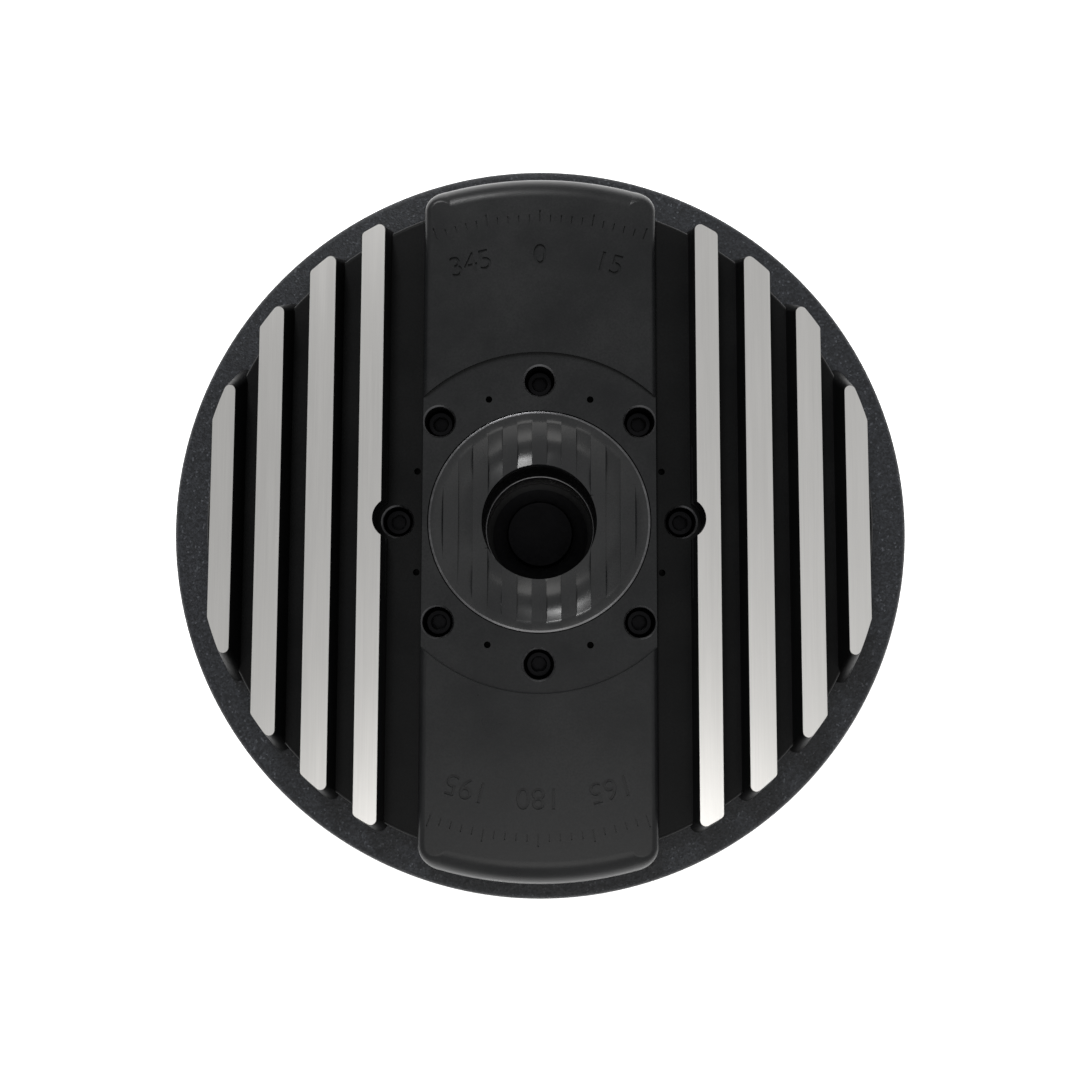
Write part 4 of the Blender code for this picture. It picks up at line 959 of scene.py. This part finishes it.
SLOT_WIDE = 0.0004
SLOT_LONG = 0.0020
SLOT_DEEP = 0.0007
HEAD_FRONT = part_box("panel_screw_1")[0].y
for number, at in enumerate(PANEL_SCREWS, 1):
    small = turned(f"panel_screw_{number}_finish", [
        (0.0, 0.0), (0.0012, 0.0001), (0.0017, 0.0005), (PANEL_HEAD_R, 0.0012), (0.0010, 0.0012),
        (0.0010, 0.008), (0.0, 0.008)], BLACK_STEEL, sides=40, axis="Y",
        at=(at[0], HEAD_FRONT, at[1]))
    for across, tall in ((SLOT_WIDE, SLOT_LONG), (SLOT_LONG, SLOT_WIDE)):
        low = (at[0] - across / 2, HEAD_FRONT - PAST, at[1] - tall / 2)
        high = (at[0] + across / 2, HEAD_FRONT + SLOT_DEEP, at[1] + tall / 2)
        cut(small, box_cutter(low, high, 0.00005), BLACK_STEEL)
    piece_done(small, "base", "black_oxide_steel", f"panel_screw_{number}")

# %% [markdown]
# ## Underside
# A flat plate closes the base. Three rubber feet stand under it, and the tripod's thread sits
# in its middle. The feet and the screws are repeated by the same node group as the bolts.

# %% Bottom plate
plate_low, plate_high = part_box("bottom_plate")
PLATE_R = plate_high.x
PLATE_LOW = plate_low.z
PLATE_TOP = PLATE_LOW + 0.004
FOOT_CIRCLE = 0.090
TOWER_CIRCLE = 0.04775
BRACKET_X = 0.011
BRACKET_Y = 0.063
FEET = ring_of(3, FOOT_CIRCLE, 30)
TOWER_POINTS = ring_of(3, TOWER_CIRCLE, 90)
BRACKET_POINTS = [(-BRACKET_X, BRACKET_Y), (BRACKET_X, BRACKET_Y)]
BOARD_POINTS = [(x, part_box("control_board")[0].y + y) for x in (-0.029, 0.029)
                for y in (0.004, 0.026)]
SUNK = HOUSING_POINTS + TOWER_POINTS + BRACKET_POINTS
HEAD_SINK = 0.0027
INSERT_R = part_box("tripod_insert")[1].x - 0.004
bottom = turned("bottom_plate_finish", [
    (INSERT_R + 0.0003, PLATE_TOP), (INSERT_R + 0.0003, PLATE_LOW + 0.0003),
    (INSERT_R + 0.0006, PLATE_LOW), (PLATE_R - 0.0006, PLATE_LOW), (PLATE_R, PLATE_LOW + 0.0006),
    (PLATE_R, PLATE_TOP - 0.0004), (PLATE_R - 0.0004, PLATE_TOP)], PAINT)
cut(bottom, lambda bm: [rod(bm, 0.0018, PLATE_LOW - PAST, PLATE_TOP + PAST, p, 24)
                        for p in FEET + SUNK])
cut(bottom, lambda bm: [rod(bm, 0.0032, PLATE_LOW - PAST, PLATE_LOW + HEAD_SINK, p, 40)
                        for p in SUNK])
posts = draw("board_posts", lambda bm: [rod(bm, 0.0025, PLATE_TOP - 0.002, plate_high.z, p, 24)
                                        for p in BOARD_POINTS], PAINT)
boolean(bottom, posts, "UNION")
piece_done(bottom, "base", "satin_black", "bottom_plate")

# %% Feet
foot_low, foot_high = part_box("foot_1")
FOOT_R = (foot_high.y - foot_low.y) / 2
foot = turned("foot", [
    (FOOT_R - 0.0004, foot_high.z), (FOOT_R, foot_high.z - 0.0004), (FOOT_R, 0.0052),
    (FOOT_R - 0.0004, 0.0049), (FOOT_R - 0.0004, 0.0044), (FOOT_R, 0.0041),
    *corner((FOOT_R - 0.0016 - 0.001, 0.001), 0.001, 0, -90, 4),
    (0.0062, 0.0), (0.0060, 0.0003), (0.0056, 0.0003), (0.0054, 0.0), (0.0040, 0.0),
    (0.0038, 0.0002), (0.0038, 0.004), (0.0018, 0.004), (0.0018, foot_high.z)], RUBBER, sides=64)
feet = around("feet", foot, RUBBER, 3, FOOT_CIRCLE, 30.0, 120.0)
piece_done(feet, "base", "rubber", "foot_1", "foot_2", "foot_3")


# %% Screws of the underside
def small_screw(node_name):
    """A cross-head screw at the origin, with the length of its solid, seen from below."""
    low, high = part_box(node_name)
    made = turned("screw", [
        (0.0, high.z), (0.0013, high.z), (0.0015, high.z - 0.0002), (0.0015, low.z + 0.0021),
        (0.0028, low.z + 0.0021), (0.0028, low.z + 0.0008), (0.0024, low.z + 0.0003),
        (0.0014, low.z), (0.0, low.z)], STEEL, sides=40)
    for along in ((0.0034, 0.0006), (0.0006, 0.0034)):
        cut(made, lambda bm: bmesh.ops.create_cube(bm, matrix=Matrix.Translation(
            (0, 0, low.z)) @ Matrix.Diagonal((*along, 0.0024, 1))), STEEL)
    return made


for name, count, radius, start in (("foot_screw", 3, FOOT_CIRCLE, 30.0),
                                   ("housing_screw", 4, HOUSING_CIRCLE, 45.0),
                                   ("tower_screw", 3, TOWER_CIRCLE, 90.0)):
    ring = around(name + "s", small_screw(name + "_1"), STEEL, count, radius, start, 360.0 / count)
    piece_done(ring, "base", "steel", *[f"{name}_{i}" for i in range(1, count + 1)])
BRACKET_TURN = math.degrees(math.atan2(BRACKET_X, BRACKET_Y))
pair = around("bracket_screws", small_screw("bracket_screw_1"), STEEL, 2,
              math.hypot(BRACKET_X, BRACKET_Y), 90 - BRACKET_TURN, 2 * BRACKET_TURN)
piece_done(pair, "base", "steel", "bracket_screw_1", "bracket_screw_2")

# %% Tripod insert
insert_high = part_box("tripod_insert")[1]
THREAD_R = 0.00476
PITCH = 0.0015875
thread = []
for i in range(7):
    base = PLATE_LOW + 0.0008 + PITCH * i
    thread += [(THREAD_R, base), (THREAD_R + 0.0008, base + PITCH / 2)]
FLANGE_Z = PLATE_TOP + 0.0003
insert = turned("tripod_insert_finish", [
    (0.0, insert_high.z), (INSERT_R - 0.0015, insert_high.z),
    (INSERT_R - 0.001, insert_high.z - 0.0005),
    (INSERT_R - 0.001, FLANGE_Z + 0.003), (insert_high.x, FLANGE_Z + 0.003),
    (insert_high.x, FLANGE_Z), (INSERT_R, FLANGE_Z), (INSERT_R, PLATE_LOW),
    (THREAD_R + 0.0008, PLATE_LOW), *thread, (THREAD_R, PLATE_LOW + 0.013),
    (0.0, PLATE_LOW + 0.013)], BLACK_STEEL, sides=96)
piece_done(insert, "base", "black_oxide_steel", "tripod_insert")

# %% [markdown]
# ## The works inside
# Nothing inside is modelled again, because its solids are already right. They only need their
# metal: each node takes the finish that its material slot names.

# %% Finishes of the solids
FINISH = {"textured_black": COAT, "satin_black": PAINT, "gloss_black": GLOSS, "steel": STEEL,
          "black_oxide_steel": BLACK_STEEL, "aluminium": ALUMINIUM, "brass": BRASS,
          "rubber": RUBBER, "black_plastic": PLASTIC, "circuit_board": BOARD, "red_lens": LENS}
inside = 0
for part in frame["record"]["subparts"]:
    solid = frame["nodes"][part["node"]]
    for index in range(len(solid.material_slots)):
        solid.material_slots[index].material = FINISH[part["material_slot"]]
    inside += not solid.hide_render
print("solids shown as they are:", inside)

# %% [markdown]
# ## Floor, light and camera
# The mount lies on a pale glowing sheet and is seen from almost straight above. A key lamp
# towards the top draws the short shadows. It is kept out of reflections, so that flat black
# paint stays black. A rim lamp glints on hollow shapes, and a wide near lamp brightens the
# near ends of the bare fins. The world is a soft dome that is brighter near the horizon.

# %% Stage
floor = draw("floor", lambda bm: bmesh.ops.create_grid(bm, x_segments=1, y_segments=1, size=6.0))
pale, pale_tree, pale_shader, pale_place = material("pale_sheet", 0.9)
pale_tone = spread(pale_tree, grain(pale_tree, pale_place, 3.0, detail=1.0), 0.0, 1.0)
pale_tree.links.new(tint(pale_tree, pale_tone, (0.86, 0.86, 0.86), (0.88, 0.88, 0.88)),
                    pale_shader.inputs["Base Color"])
pale_shader.inputs["Emission Color"].default_value = (1.0, 1.0, 1.0, 1.0)
pale_shader.inputs["Emission Strength"].default_value = 0.75
floor.data.materials.append(pale)

scene = bpy.context.scene
scene.view_settings.view_transform = "Standard"
world = bpy.data.worlds.new("studio")
world.use_nodes = True
sky = world.node_tree
sky.nodes["Background"].inputs["Color"].default_value = (1.0, 1.0, 1.0, 1.0)
across = node(sky, "ShaderNodeTexCoord").outputs["Generated"]
parts = node(sky, "ShaderNodeSeparateXYZ", {"Vector": across})
slope = node(sky, "ShaderNodeMath", {0: parts.outputs["Y"], 1: -1.0}, operation="MULTIPLY")
side = node(sky, "ShaderNodeMath", {0: parts.outputs["X"], 1: 1.0, 2: slope.outputs["Value"]},
            operation="MULTIPLY_ADD")
overhead = spread(sky, side.outputs["Value"], 0.42, 0.66, -0.4, 0.4)
horizon = spread(sky, parts.outputs["Z"], 0.80, 0.0, 0.02, 0.32)
level = node(sky, "ShaderNodeMath", {0: overhead, 1: horizon}, operation="MAXIMUM")
sky.links.new(level.outputs["Value"], sky.nodes["Background"].inputs["Strength"])
scene.world = world


# %% Lamps
def lamp(name, place, target, size, power, colour=(1.0, 1.0, 1.0), mirrored=True):
    """A square soft lamp aimed at a point. One that is not mirrored lights only matt tones."""
    light = bpy.data.lights.new(name, "AREA")
    light.energy = power
    light.size = size
    light.color = colour
    made = new_piece(name, light)
    aim = (Vector(target) - Vector(place)).to_track_quat("-Z", "Y")
    made.matrix_world = Matrix.Translation(place) @ aim.to_matrix().to_4x4()
    made.visible_glossy = mirrored


MIDDLE = (0.0, 0.0, RIM_Z)
lamp("key_lamp", (-0.25, 0.70, 1.25), MIDDLE, 0.24, 15.0, mirrored=False)
lamp("rim_lamp", (-0.30, 1.14, 1.12), MIDDLE, 0.30, 7.0)
lamp("near_lamp", (0.04, -0.60, 1.30), MIDDLE, 0.66, 3.0, (1.0, 0.985, 0.96))

# %% Camera
camera_data = bpy.data.cameras.new("camera")
camera_data.lens = 37.8
camera_data.sensor_width = 36.0
camera = new_piece("camera", camera_data)
eye = Vector((0.00267, -0.03455, HUB_Z + 0.3329))
aim_at = Vector((0.00026, -0.0056, HUB_Z))
back = (eye - aim_at).normalized()
right = Vector((0.0, 1.0, 0.0)).cross(back).normalized()
upright = Matrix((right, back.cross(right), back)).transposed().to_4x4()
ROLL = math.radians(0.16)
camera.matrix_world = Matrix.Translation(eye) @ upright @ Matrix.Rotation(ROLL, 4, "Z")
scene.camera = camera
